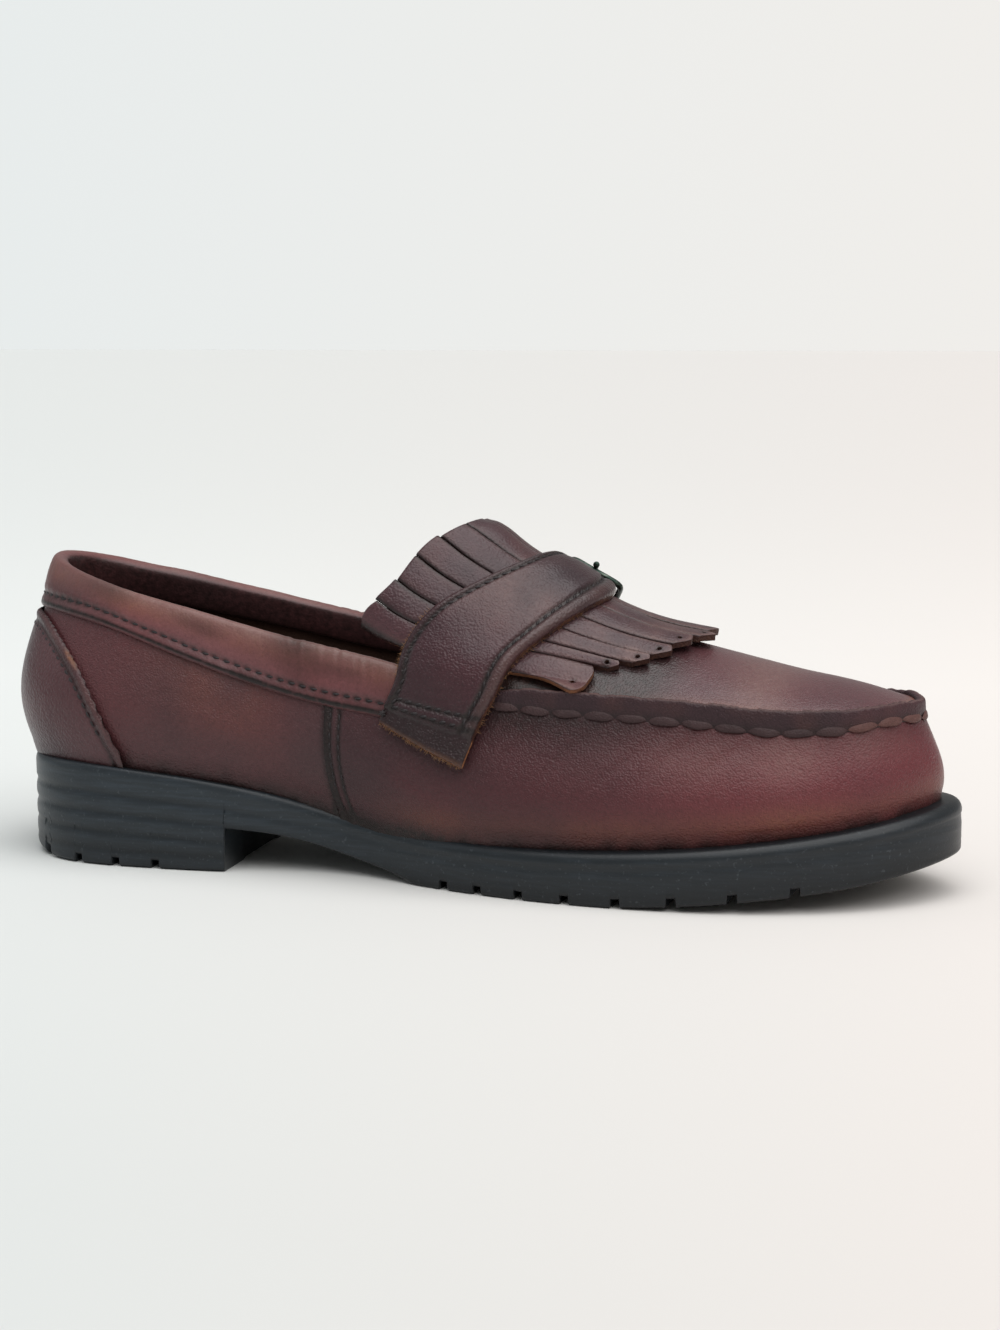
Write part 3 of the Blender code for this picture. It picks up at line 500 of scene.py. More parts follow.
def surface(tree, sockets, bump=None):
    """Feeds the Principled shader. bump is its height, strength and distance in metres."""
    if bump:
        bump = dict(zip(("Height", "Strength", "Distance"), bump))
        sockets = {**sockets, "Normal": node(tree, "Bump", bump).outputs[0]}
    for label, value in sockets.items():
        feed(tree, tree.nodes["Principled BSDF"].inputs[label], value)


# Dust and fine scuffs: pale specks and short streaks that lie on rubber and metal.
dust, d_in, d_out = new_group(
    "dust_and_scuffs",
    [("Vector", "Vector"), ("Amount", "Float", 0.3)],
    [("Specks", "Float"), ("Streaks", "Float")],
)
flat = node(dust, "Mapping", {"Vector": d_in["Vector"], "Scale": (0.22, 0.22, 2.4)}).outputs[0]
specks = ranged(dust, noise(dust, d_in["Vector"], 900.0, 3.0), 0.0, 1.0, 0.62, 0.75)
streaks = ranged(dust, noise(dust, flat, 420.0, 4.0), 0.0, 1.0, 0.45, 0.7)
feed(dust, d_out["Specks"], sums(dust, "MULTIPLY", specks, d_in["Amount"]))
feed(dust, d_out["Streaks"], sums(dust, "MULTIPLY", streaks, d_in["Amount"]))

rubber, tree, place = new_finish("satin_black_rubber")
scuffs = node(tree, "Group", {"Vector": place, "Amount": 0.35}, node_tree=dust).outputs
colour = blended(tree, scuffs["Streaks"], "252b30", "38414a")
# The dark mask paints shade into the rubber: on the lip under the upper, in the grooves, down the side
# and underneath. It also makes the forefoot darker.
colour = blended(tree, sums(tree, "MULTIPLY", mask_of(tree, "dark"), 0.8), colour, "0b0d0f")
colour = blended(tree, sums(tree, "MULTIPLY", scuffs["Specks"], 0.35), colour, "7c8288")
rough = ranged(tree, scuffs["Streaks"], 0.36, 0.5)
surface(tree, {"Base Color": colour, "Roughness": rough, "Specular IOR Level": 0.35},
        (noise(tree, place, 1500.0, 3.0), 0.25, 0.0002))

points, faces, dark = outsole_shape()
dark = dark + FORE_DARK * smooth_step(points[:, 0], 85, 165)
shoe_piece("outsole_rubber", points, faces, rubber, ["outsole"], {"dark": dark})

# Upper: vamp and quarter leather, cut from one pattern, lasted over the foot shape and cemented
# down into the sole. The vamp laps over the quarters with two rows of stitches on each side.
# A place on the wall is a station round the shoe from the back of the heel by the inner side,
# and a rise from the feather line (0) to its top edge (1).
WALL_ROWS = [
    # foot_x, foot_y, top_x, top_y, top_z, belly
    (3.8, 0, 9.0, 0, 90.5, 6.4),
    (9, -16, 14, -12, 89.0, 6.2),
    (24, -27, 27, -19.5, 85.2, 5.8),
    (46, -31, 46, -24.5, 80.4, 5.2),
    (72, -30.8, 70, -27.2, 75.0, 5.0),
    (94, -28, 89, -28.8, 70.6, 5.4),
    (113, -28.5, 104.5, -29.8, 67.6, 5.8),
    (130, -32.8, 122, -31.3, 64.4, 5.4),
    (150, -38.5, 146, -33.6, 59.4, 5.0),
    (175, -42.5, 170, -35.6, 56.5, 5.0),
    (200, -43.8, 196, -36.3, 55.5, 5.0),
    (224, -42.5, 221, -36.0, 54.2, 4.6),
    (246, -38, 242, -33.6, 52.6, 4.2),
    (265, -29.6, 260, -27.2, 53.4, 3.2),
    (277.5, -17.5, 271.5, -17.0, 54.8, 2.6),
    (284, -4.5, 277.5, -4.5, 54.4, 2.4),
    (280.5, 9, 273.5, 8, 54.8, 2.6),
    (268, 22, 262, 19, 53.4, 3.2),
    (248, 33.2, 243, 27.5, 52.6, 4.2),
    (225, 40.8, 221, 33.2, 54.0, 4.8),
    (200, 45.3, 196, 36.2, 55.5, 5.2),
    (174, 46, 170, 37.2, 56.5, 5.4),
    (149, 42.5, 146, 36.2, 60.0, 5.2),
    (130, 38.2, 122, 34.2, 65.6, 5.0),
    (112, 34.8, 104.5, 32.4, 69.0, 5.0),
    (93, 32.8, 89, 30.8, 72.2, 5.0),
    (71, 32, 70, 28.6, 76.4, 5.0),
    (46, 31.2, 46, 25.4, 81.6, 5.2),
    (24, 27, 27, 20.2, 85.8, 5.8),
    (9, 16, 14, 12.2, 89.2, 6.2),
]
CREST = [
    # x, height of the middle of the instep and apron
    (140, 106.0),
    (156, 96.6),
    (166, 90.2),
    (176, 84.6),
    (187, 79.0),
    (200, 74.4),
    (217, 70.0),
    (230, 67.4),
    (242, 65.0),
    (254, 62.0),
    (266, 58.6),
    (277.5, 54.4),
]
BELLY_SKEW = 0.25
AROUND = len(WALL_ROWS)
THROAT_INNER, THROAT_OUTER = 8.0, 22.0
TOE_INNER, TOE_OUTER = 13.5, 16.5
THROAT_LEAN, THROAT_POWER, APRON_POWER = 17.0, 0.88, 1.1
WALL_THICK, GAP = 2.0, 0.3
VAMP_LAP = 0.9
VAMP_EDGE = [
    # rise, station of the vamp's rear edge
    (0.0, 5.83),
    (0.12, 5.85),
    (0.31, 5.91),
    (0.49, 5.96),
    (0.66, 6.03),
    (0.8, 6.08),
    (1.0, 6.14),
]
SEAM_ROWS = (0.15, 0.33)
FOOT_TUCK, TUCK_SHARE = 2.8, 12
PER_STATION, WALL_TALL = 17.0, 40
CREASES = [
    # station and rise of its two ends, bow, width and depth in millimetres
    (9.1, 0.80, 8.3, 0.40, 0.02, 2.2, 0.30),
    (9.8, 0.86, 8.9, 0.34, 0.03, 2.6, 0.34),
    (10.4, 0.82, 9.7, 0.45, -0.02, 2.0, 0.24),
    (10.9, 0.85, 10.3, 0.50, 0.02, 2.4, 0.24),
    (11.5, 0.80, 10.7, 0.42, 0.03, 2.2, 0.20),
    (9.3, 0.30, 8.5, 0.16, 0.0, 2.0, 0.16),
    (7.1, 0.42, 7.9, 0.26, 0.02, 2.6, 0.2),
    (3.5, 0.50, 4.6, 0.42, 0.03, 3.2, 0.22),
    (3.3, 0.22, 4.9, 0.30, -0.03, 3.4, 0.2),
    (20.9, 0.84, 21.7, 0.42, 0.02, 2.4, 0.34),
    (20.2, 0.86, 21.0, 0.36, -0.02, 2.6, 0.36),
    (19.5, 0.82, 20.2, 0.44, 0.02, 2.2, 0.28),
    (18.8, 0.80, 19.5, 0.46, 0.0, 2.2, 0.22),
    (25.4, 0.45, 26.8, 0.40, 0.03, 3.2, 0.22),
]

wall_rows = closed_curve(WALL_ROWS)
crest_height = curve_of(CREST)
vamp_edge = curve_of(VAMP_EDGE)


def across(first, second):
    """Unit vectors along the cross product."""
    return unit(np.cross(first, second))


def wall_face(station, rise):
    """The outer face of the wall: rise is 0 at the feather line and 1 at the top edge."""
    station, rise = np.broadcast_arrays(np.asarray(station, float), rise)
    row = wall_rows(station)
    step = 0.01
    ahead = wall_rows(station + step) - wall_rows(station - step)
    out = unit(np.stack([ahead[..., 1], -ahead[..., 0]], -1))
    foot_z = seat_height(row[..., 0])
    turn = math.pi * np.clip(rise, 0, 1)
    swell = row[..., 5] * (np.sin(turn) + BELLY_SKEW * np.sin(2 * turn))
    x = row[..., 0] * (1 - rise) + row[..., 2] * rise + out[..., 0] * swell
    y = row[..., 1] * (1 - rise) + row[..., 3] * rise + out[..., 1] * swell
    z = foot_z * (1 - rise) + row[..., 4] * rise
    return np.stack([x, y, z], -1)


def wall_out(station, rise):
    """The wall's normal."""
    step = 0.02
    low, high = np.clip(rise, 0.02, 0.97) - step, np.clip(rise, 0.02, 0.97) + step
    along = wall_face(station + step, rise) - wall_face(station - step, rise)
    return across(along, wall_face(station, high) - wall_face(station, low))


def wall(station, rise, out=0.0):
    """The wall's outer face moved out along its normal, in millimetres."""
    station = np.asarray(station, float)
    return wall_face(station, rise) + wall_out(station, rise) * np.asarray(out, float)[..., None]


def arch(share, power):
    """The height of an arch at a place across it, from -1 to 1, as a share of its crown."""
    return np.clip(1 - share**2, 0, 1) ** power


def apron_face(over, along):
    """The top of the instep and apron: over runs from the inner edge (0) to the outer edge (1),
    and along from the throat (0) to the toe (1)."""
    over, along = np.broadcast_arrays(np.asarray(over, float), along)
    inner = THROAT_INNER + (TOE_INNER - THROAT_INNER) * along
    outer = THROAT_OUTER + (TOE_OUTER - THROAT_OUTER) * along
    left, right = wall_face(inner, 1.0), wall_face(outer, 1.0)
    front = wall_face(TOE_INNER + (TOE_OUTER - TOE_INNER) * over, 1.0)
    corner_in, corner_out = wall_face(TOE_INNER, 1.0), wall_face(TOE_OUTER, 1.0)
    o, a = over[..., None], along[..., None]
    straight = left * (1 - o) + right * o
    base = straight + a**3 * (front - corner_in * (1 - o) - corner_out * o)
    middle = (left + right) / 2
    lean = THROAT_LEAN * (1 - along) ** 2
    toe_tip = wall_face((TOE_INNER + TOE_OUTER) / 2, 1.0)
    centre_x = middle[..., 0] + lean + along**3 * (toe_tip[0] - middle[..., 0])
    share = 2 * over - 1
    crown = crest_height(centre_x) - middle[..., 2]
    power = THROAT_POWER + (APRON_POWER - THROAT_POWER) * smooth_step(along, 0, 0.15)
    base[..., 0] += lean * arch(share, 1.0)
    base[..., 2] += crown * arch(share, power)
    return base


def from_heel(station):
    """Stations from the back of the heel, on either side of the shoe."""
    return np.minimum(station % AROUND, AROUND - station % AROUND)


def above_seat(face):
    return face[..., 2] - seat_height(face[..., 0])


def tucked(points, rise):
    """The points with their foot drawn in below the sole's seat, where light can't pass."""
    points[..., 2] -= FOOT_TUCK * np.clip(1 - rise * TUCK_SHARE, 0, 1)
    return points


def seam_distance(station, rise):
    """Millimetres toe-ward of the vamp's rear edge, on either side of the shoe."""
    return (from_heel(station) - vamp_edge(rise)) * PER_STATION


def crease_relief(face):
    """Soft troughs with a low roll on both sides, where the leather has bent."""
    relief = np.zeros(face.shape[:-1])
    share = np.linspace(0, 1, 14)
    for first_s, first_r, then_s, then_r, bow, wide, deep in CREASES:
        line = wall_face(
            first_s + (then_s - first_s) * share,
            first_r + (then_r - first_r) * share + bow * np.sin(math.pi * share),
        )
        gaps = np.linalg.norm(face[..., None, :] - line, axis=-1)
        nearest = np.argmin(gaps, axis=-1)
        gap = np.min(gaps, axis=-1)
        strength = deep * np.sin(math.pi * np.clip(share[nearest], 0.04, 0.96)) ** 0.7
        relief -= strength * hump(gap, 0, wide * 0.6)
        relief += 0.45 * strength * hump(gap, 1.5 * wide, wide * 0.7)
    return relief


def foot_relief(face):
    """The wrinkles where the leather is drawn in under the feather line."""
    gather = lumps(face * [0.9, 0.9, 0.35], 1.6, 11) * 0.5 + lumps(face, 3.4, 12) * 0.5
    return hump(above_seat(face), 0.6, 2.2) * (0.28 * gather - 0.25)


def wall_relief(station, rise, vamp):
    """How far the leather stands off the wall's own face, in millimetres."""
    face = wall_face(station, rise)
    relief = crease_relief(face) + foot_relief(face)
    relief += 0.16 * lumps(face, 21, 2) + 0.07 * lumps(face, 8, 3)
    if not vamp:
        return relief
    gap = seam_distance(station, rise)
    clear = 0.3 + 0.7 * smooth_step(above_seat(face), 0.8, 5.0)
    lap = VAMP_LAP * (1 - smooth_step(gap, 9, 34)) * clear
    relief += lap * np.sqrt(np.clip(1 - (1 - np.clip(gap, 0, 0.7) / 0.7) ** 2, 0, 1))
    for row in SEAM_ROWS:
        relief -= 0.42 * clear * hump(gap, row * PER_STATION, 0.75)
    relief += 0.24 * clear * hump(gap, sum(SEAM_ROWS) / 2 * PER_STATION, 0.8)
    return relief


def wall_masks(station, rise, vamp):
    """Where the wall is darker, redder, rubbed pale, or tan. The dark mask is the foot line's burnish
    with a painted shadow over it, the vamp's edge and stitch rows, and painted shade under the seam
    ridge, near and under the strap, and on the quarter beside the vamp's lapped edge.
    """
    face = wall_face(station, rise)
    folded, height = from_heel(station), above_seat(face)
    mottle = lumps(face, 26, 5) * 0.6 + lumps(face, 11, 6) * 0.4
    cloudy = np.clip(0.5 + mottle, 0, 1)
    toe = smooth_step(folded, 8.8, 12.5)
    heel = 1 - smooth_step(folded, 2.4, 3.9)
    # Painted shadow: the foot line is darkened well above the sole, most round the heel and waist, over
    # its burnish.
    foot = 1.9 + 1.2 * (1 - smooth_step(folded, 6.5, 8.5)) + 0.8 * lumps(face, 4, 7)
    dark = 0.95 * hump(height, 0.0, foot) + 0.16 * hump(height, 2.0, 3.0)
    # Painted shade under the seam ridge.
    near_ridge = 1 - smooth_step((1 - rise) * WALL_TALL, 3, 16)
    dark += near_ridge * smooth_step(folded, 7.9, 8.6) * (0.55 - 0.3 * toe)
    gap = seam_distance(station, rise)
    if vamp:
        # The vamp's own dark edge, then painted shade near and under the strap.
        dark += 0.75 * (1 - smooth_step(gap, 1.6, 2.6)) + 0.26 * (1 - smooth_step(folded, 8.6, 11.8))
        for row in SEAM_ROWS:
            dark += 0.75 * hump(gap, row * PER_STATION, 0.8)
    else:
        # Painted shadow on the quarter, beside the vamp's lapped edge.
        dark += 0.5 * hump(gap, -0.3, 1.0) * (gap < 0.5)
    red = np.clip(0.22 + 0.6 * toe + 0.28 * heel + 0.35 * mottle, 0, 1)
    red += 0.25 * hump(height, 12, 9) * smooth_step(folded, 6.5, 8)
    tan = hump(height, 5.5, 4.5) * smooth_step(folded, 6.4, 7.6) * (0.32 + 0.3 * mottle)
    tan += 0.1 * toe * hump(height, 4.5, 3)
    tan += 0.24 * hump(folded, 4.1, 0.9) * hump(rise, 0.62, 0.3) * cloudy
    worn = 0.35 * toe * hump(height, 24, 9) * cloudy
    return {"dark": dark, "red": red, "tan": tan, "worn": worn}


# Leather grain: fine rounded cells with a few deeper pores between them.
grain, g_in, g_out = new_group(
    "leather_grain",
    [("Vector", "Vector"), ("Cells", "Float", 1700.0)],
    [("Height", "Float"), ("Pores", "Float")],
)
vector = g_in["Vector"]
wobble = node(grain, "TexNoise", {"Vector": vector, "Scale": 700.0, "Detail": 2.0})
bent = node(grain, "VectorMath", {0: wobble.outputs["Color"], "Scale": 0.0006}, operation="SCALE")
bent = vector_sum(grain, "ADD", vector, bent.outputs[0], "Vector")
cells = node(grain, "TexVoronoi", {"Vector": bent, "Scale": g_in["Cells"]}, feature="SMOOTH_F1")
cells = cells.outputs["Distance"]
big = sums(grain, "MULTIPLY", noise(grain, vector, 260.0, 3.0), 0.8)
feed(grain, g_out["Height"], sums(grain, "ADD", sums(grain, "SUBTRACT", 1.0, cells), big))
feed(grain, g_out["Pores"], ranged(grain, cells, 0.0, 1.0, 0.45, 0.75))

# Patina: cloudy dye with faint streaks, between a shaded and a lively tone of the leather.
patina, p_in, p_out = new_group(
    "leather_patina",
    [("Vector", "Vector"), ("Tone", "Color"), ("Shade", "Color"), ("Lively", "Color"),
     ("Red", "Float", 0.0)],
    [("Color", "Color"), ("Cloud", "Float")],
)
vector = p_in["Vector"]
cloud = ranged(patina, noise(patina, vector, 38.0, 5.0), 0.0, 1.0, 0.35, 0.68)
strewn = node(patina, "Mapping", {"Vector": vector, "Scale": (0.35, 0.35, 1.0)}).outputs[0]
streak = ranged(patina, noise(patina, strewn, 190.0, 4.0), 0.0, 1.0, 0.4, 0.75)
toned = p_in["Tone"]
for share, strength in ((cloud, 0.55), (streak, 0.22)):
    toned = blended(patina, sums(patina, "MULTIPLY", share, strength), toned, p_in["Shade"])
toned = blended(patina, p_in["Red"], toned, p_in["Lively"])
speckle = ranged(patina, noise(patina, vector, 900.0, 2.0), 0.76, 1.24)
feed(patina, p_out["Color"], blended(patina, 1.0, toned, speckle, "MULTIPLY"))
feed(patina, p_out["Cloud"], cloud)

# Edge wear and painted light: a mask, broken up by noise, brings one more colour over the leather. The
# dark layer holds painted shade as well as burnish and seams, and the worn layer holds painted highlights
# as well as wear.
wear_and_light, w_in, w_out = new_group(
    "edge_wear",
    [("Vector", "Vector"), ("Under", "Color"), ("Over", "Color"), ("Mask", "Float", 0.0),
     ("Breakup", "Float", 0.5)],
    [("Color", "Color"), ("Amount", "Float")],
)
rubbed = sums(wear_and_light, "SUBTRACT", noise(wear_and_light, w_in["Vector"], 620.0, 4.0), 0.5)
for share in (w_in["Breakup"], 3.0, w_in["Mask"]):
    rubbed = sums(wear_and_light, "MULTIPLY", rubbed, share)
amount = node(wear_and_light, "Clamp", {0: sums(wear_and_light, "ADD", w_in["Mask"], rubbed)}).outputs[0]
feed(wear_and_light, w_out["Color"], blended(wear_and_light, amount, w_in["Under"], w_in["Over"]))
feed(wear_and_light, w_out["Amount"], amount)

WEAR_AND_LIGHT_LAYERS = [
    # mask, colour, how far noise breaks it up
    ("tan", "7a4a3a", 0.5),
    # the paler colour of wear, also used for painted highlights
    ("worn", "80645e", 0.5),
    # the dark colour of burnish and seams, also used for painted shade
    ("dark", "1d1413", 0.25),
    ("raw", "8d5c3c", 0.7),
]
PORE_COLOUR, PORE_SHARE = "1a1110", 0.14


def leather(name, tone, shade, lively, cells=1900.0, relief=0.85, rough=(0.33, 0.45), coat=0.07):
    """A dyed and waxed leather. Its masks are dark, red, tan, worn and raw; dark also carries painted
    shade, and worn also carries painted highlights.
    """
    made, tree, place = new_finish(name)
    dye = {"Vector": place, "Tone": tone, "Shade": shade, "Lively": lively, "Red": mask_of(tree, "red")}
    base = node(tree, "Group", dye, node_tree=patina)
    colour = base.outputs["Color"]
    for mask, code, breakup in WEAR_AND_LIGHT_LAYERS:
        sockets = {"Vector": place, "Under": colour, "Over": code, "Mask": mask_of(tree, mask)}
        layer = node(tree, "Group", {**sockets, "Breakup": breakup}, node_tree=wear_and_light)
        colour = layer.outputs["Color"]
    skin = node(tree, "Group", {"Vector": place, "Cells": cells}, node_tree=grain)
    pores = sums(tree, "MULTIPLY", skin.outputs["Pores"], PORE_SHARE)
    gloss = ranged(tree, base.outputs["Cloud"], *rough)
    dull = sums(tree, "MULTIPLY", layer.outputs["Amount"], 0.45)
    surface(tree, {
        "Base Color": blended(tree, pores, colour, PORE_COLOUR),
        "Roughness": sums(tree, "ADD", gloss, dull),
        "Coat Weight": coat,
        "Coat Roughness": 0.26,
        "Specular IOR Level": 0.27,
    }, (skin.outputs["Height"], relief, 0.0003))
    return made


vamp_leather = leather("burgundy_vamp_leather", "482d31", "362427", "622d32")
quarter_leather = leather("burgundy_quarter_leather", "4a3133", "3a2b2d", "5c3033")


def wall_sheet(name, first, last, columns, rows, vamp, finish):
    """The part of the wall between two stations; at the vamp's ends it follows its rear edge."""
    share, rise = np.meshgrid(np.linspace(0, 1, columns), np.linspace(0, 1, rows))
    station = first(rise) + (last(rise) - first(rise)) * share
    face = tucked(wall(station, rise, wall_relief(station, rise, vamp)), rise)
    faces = grid_quads(rows, columns)
    probe = faces[len(faces) // 2][0]
    out = wall_out(station.ravel()[probe : probe + 1], rise.ravel()[probe])[0]
    shoe_piece(name, face, faces, finish, (), wall_masks(station, rise, vamp),
               (len(faces) // 2, out))


wall_sheet(
    "vamp",
    lambda rise: vamp_edge(rise),
    lambda rise: AROUND - vamp_edge(rise),
    620, 66, True, vamp_leather,
)
wall_sheet(
    "quarters",
    lambda rise: -vamp_edge(rise) - 0.2,
    lambda rise: vamp_edge(rise) + 0.2,
    420, 62, False, quarter_leather,
)

# Lining and sock: the inside of the shoe, brown napped leather all round, and a smooth leather
# sock over the insole. Only the heel end shows, through the collar.
INSOLE_THICK, INSOLE_INSET = 2.4, 0.8
SOCK_RINGS = ((0.0, 0.2), (0.0, 1.6), (0.5, 2.3), (1.6, INSOLE_THICK))
HEEL_HOLLOW = (42, 26, 19)


def grid_out(grid):
    """The normals of a grid of points."""
    return across(np.gradient(grid, axis=1), np.gradient(grid, axis=0))


def wall_ahead(station, rise):
    """The way round the shoe from the heel by the inner side."""
    return wall_face(station + 0.05, rise) - wall_face(station - 0.05, rise)


nap, tree, place = new_finish("napped_lining_leather")
fuzz = noise(tree, place, 1900.0, 4.0)
colour = blended(tree, noise(tree, place, 60.0, 5.0), "2b1a14", "573728")
colour = blended(tree, fuzz, colour, "40281e")
surface(tree, {"Base Color": colour, "Roughness": 0.92, "Sheen Weight": 0.06, "Sheen Roughness": 0.5},
        (fuzz, 0.6, 0.0004))

station, rise = np.meshgrid(np.linspace(0, AROUND, 241), np.linspace(0.02, 0.99, 26))
rows, columns = station.shape
ripples = 0.25 * lumps(wall_face(station, rise), 9, 21)
inside = wall(station, rise, ripples - WALL_THICK)[:, :-1]
over, along = np.meshgrid(np.linspace(0, 1, 33), np.linspace(0, 1, 49))
roof = apron_face(over, along)
roof_out = -grid_out(roof)
roof = roof + roof_out * np.where(roof_out[..., 2:] > 0, -WALL_THICK, WALL_THICK)
points = np.concatenate([inside.reshape(-1, 3), roof.reshape(-1, 3)])
faces = grid_quads(rows, columns - 1, closed_columns=True)
faces += grid_quads(*over.shape, start=rows * (columns - 1))
shoe_piece("lining", points, faces, nap, ["upper"], None, (0, (1, 0, 0)))

sock = leather("sock_leather", "4a332b", "33231e", "5d4034", cells=1300.0, rough=(0.55, 0.7), coat=0.0)
station = np.linspace(0, AROUND, 241)[:-1]
foot = wall_face(station, 0.0)
inward = -across(wall_ahead(station, 0.0), np.array([0, 0, 1.0]))
rings = []
for inset, lift in SOCK_RINGS:
    ring = foot + inward * (WALL_THICK + INSOLE_INSET + inset)
    ring[:, 2] = seat_height(ring[:, 0]) + GAP + lift
    rings.append(ring)
count, half = len(station), len(station) // 2
near_row = np.arange(half + 1)
far_row = (count - near_row) % count
share = np.linspace(0, 1, 22)[1:-1, None]
grid = rings[-1][near_row][:, None] * (1 - share) + rings[-1][far_row][:, None] * share
grid[..., 2] = seat_height(grid[..., 0]) + GAP + INSOLE_THICK + 0.15 * lumps(grid, 12, 22)
heel_x, heel_long, heel_wide = HEEL_HOLLOW
hollow = np.hypot((grid[..., 0] - heel_x) / heel_long, grid[..., 1] / heel_wide)
grid[..., 2] -= 0.8 * hump(hollow, 0, 0.8)
points = np.concatenate([np.concatenate(rings), grid.reshape(-1, 3)])
last = (len(rings) - 1) * count
index = np.empty((half + 1, len(share) + 2), int)
index[:, 0], index[:, -1] = last + near_row, last + far_row
index[:, 1:-1] = len(rings) * count + np.arange((half + 1) * len(share)).reshape(half + 1, -1)
index[0, :], index[-1, :] = last, last + half
faces = grid_quads(len(rings), count, closed_columns=True)
faces += number_quads(index) + number_quads(np.column_stack([near_row, far_row]))
shoe_piece("sock_lining", points, faces, sock, ["insole"])

# Apron: the plug over the toes and instep, let into the wall by a hand-sewn seam. Its edge is
# paler where the wax has worn off.
APRON_ROWS, APRON_COLUMNS = 190, 120
APRON_INSET, APRON_WIDE, APRON_LONG = 0.006, 68, 130
TOE_FULL = 2.1

apron_leather = leather("burgundy_apron_leather", "55383d", "3f2b2f", "5f3439", relief=0.8,
                        rough=(0.28, 0.38), coat=0.4)
over, along = np.meshgrid(
    np.linspace(APRON_INSET, 1 - APRON_INSET, APRON_COLUMNS),
    np.linspace(0, 1 - APRON_INSET, APRON_ROWS),
)
apron = apron_face(over, along)
apron_out = grid_out(apron)
apron_out *= np.sign(apron_out[..., 2:])
edge = np.minimum(np.minimum(over, 1 - over) * APRON_WIDE, (1 - along) * APRON_LONG)
relief = 0.14 * lumps(apron, 18, 31) + 0.05 * lumps(apron, 6, 32) - 0.7 * hump(edge, 0, 2.2)
relief += TOE_FULL * hump(along, 0.84, 0.15) * arch(2 * over - 1, 0.8)
apron = apron + apron_out * relief[..., None]
mottle = lumps(apron, 22, 33)
# Painted shadow: the apron darkens towards the throat, under the kiltie's fringe. Painted highlight: the
# paler band just ahead of the fringe.
masks = {
    "dark": 0.8 * hump(edge, 0, 1.1) + 0.85 * (1 - smooth_step(along, 0.38, 0.5)),
    "tan": 0.75 * hump(edge, 2.6, 2.6) * (0.7 + 0.5 * mottle),
    "red": 0.3 + 0.35 * mottle + 0.25 * smooth_step(along, 0.5, 1),
    "worn": 0.3 * hump(along, 0.62, 0.1) * (0.5 + mottle),
}
faces = grid_quads(APRON_ROWS, APRON_COLUMNS)
shoe_piece("apron", apron, faces, apron_leather, (), masks,
           (len(faces) // 2, (0, 0, 1)))

# Seam ridge: the wall's top edge, drawn up against the apron's edge and standing round it. The
# hand-sewn thread lies along its foot in long flat stitches, with an awl hole between two.
RIDGE_SECTION = [
    # out from the wall's top edge, up
    (0.5, -4.6),
    (1.35, -3.4),
    (1.55, -1.2),
    (1.5, 1.2),
    (1.35, 2.6),
    (0.95, 3.25),
    (0.2, 3.4),
    (-0.7, 3.3),
    (-1.25, 2.7),
    (-1.4, 1.2),
    (-1.5, -0.9),
]
RIDGE_START, RIDGE_END, RIDGE_RISE = 8.5, 21.5, 0.6
RIDGE_STEPS, RIDGE_RINGS = 520, 26
HAND_PITCH, HAND_LONG, HAND_HIGH, HAND_THICK = 9.4, 9.9, 2.5, 0.9
HAND_DROP = 3.1
TOE_LOWER = 0.42

RIDGE_LOW_TOE = ((12.2, 14.0), (17.4, 19.4))
RIDGE_RED_TOE = ((12.6, 13.4), (16.6, 17.4))
LEAF_RINGS, LEAF_SIDES = 9, 10


def between(value, grows, fades):
    """0, then 1 after the range in which it grows, and 0 again after the one where it fades."""
    return smooth_step(value, *grows) * (1 - smooth_step(value, *fades))


def run_of(path):
    """The distance along a path at each of its points."""
    return np.concatenate([[0], np.cumsum(np.linalg.norm(np.diff(path, axis=0), axis=1))])


def at_place(values, knots, place):
    """A row of values at a place between the rows' knots."""
    return np.array([np.interp(place, knots, values[:, n]) for n in range(3)])


def along_path(path, distance):
    """The place and direction at a distance along a path of points."""
    run = run_of(path)
    before, place, after = [at_place(path, run, distance + d) for d in (-0.3, 0, 0.3)]
    return place, unit(after - before)


def tube(rings, closed=False):
    """The points and faces of a tube from its rings. Its ends are flat unless it is closed."""
    rings = np.asarray(rings, float)
    count, sides = rings.shape[:2]
    faces = grid_quads(count, sides, closed_rows=closed, closed_columns=True)
    if not closed:
        faces.append(list(range(sides)))
        faces.append([(count - 1) * sides + k for k in reversed(range(sides))])
    return rings.reshape(-1, 3), faces


def gathered(parts):
    """One set of points and faces from many."""
    points, faces, start = [], [], 0
    for part_points, part_faces in parts:
        points.append(part_points)
        faces += [[n + start for n in face] for face in part_faces]
        start += len(part_points)
    return np.concatenate(points), faces


def leaf(centre, ahead, out, length, height, thick, seed=0):
    """A flat pointed stitch: widest in the middle, drawn down into a hole at both ends."""
    side = unit(np.cross(out, ahead))
    rings = []
    for f in np.linspace(-1, 1, LEAF_RINGS):
        wide = height / 2 * (1 - abs(f) ** 2.2) ** 0.75 + 0.12
        deep = thick / 2 * (1 - 0.75 * f * f)
        drop = -0.9 * thick * abs(f) ** 3
        wobble = 0.12 * math.sin(9.1 * seed + 4 * f)
        ring = []
        for k in range(LEAF_SIDES):
            angle = 2 * math.pi * k / LEAF_SIDES
            lift = deep * math.sin(angle) * (1 - 0.22 * math.cos(angle) ** 2 * (k % 2))
            ring.append(centre + ahead * f * length / 2 + side * (wide * math.cos(angle) + wobble)
                        + out * (lift + drop))
        rings.append(ring)
    return tube(rings)


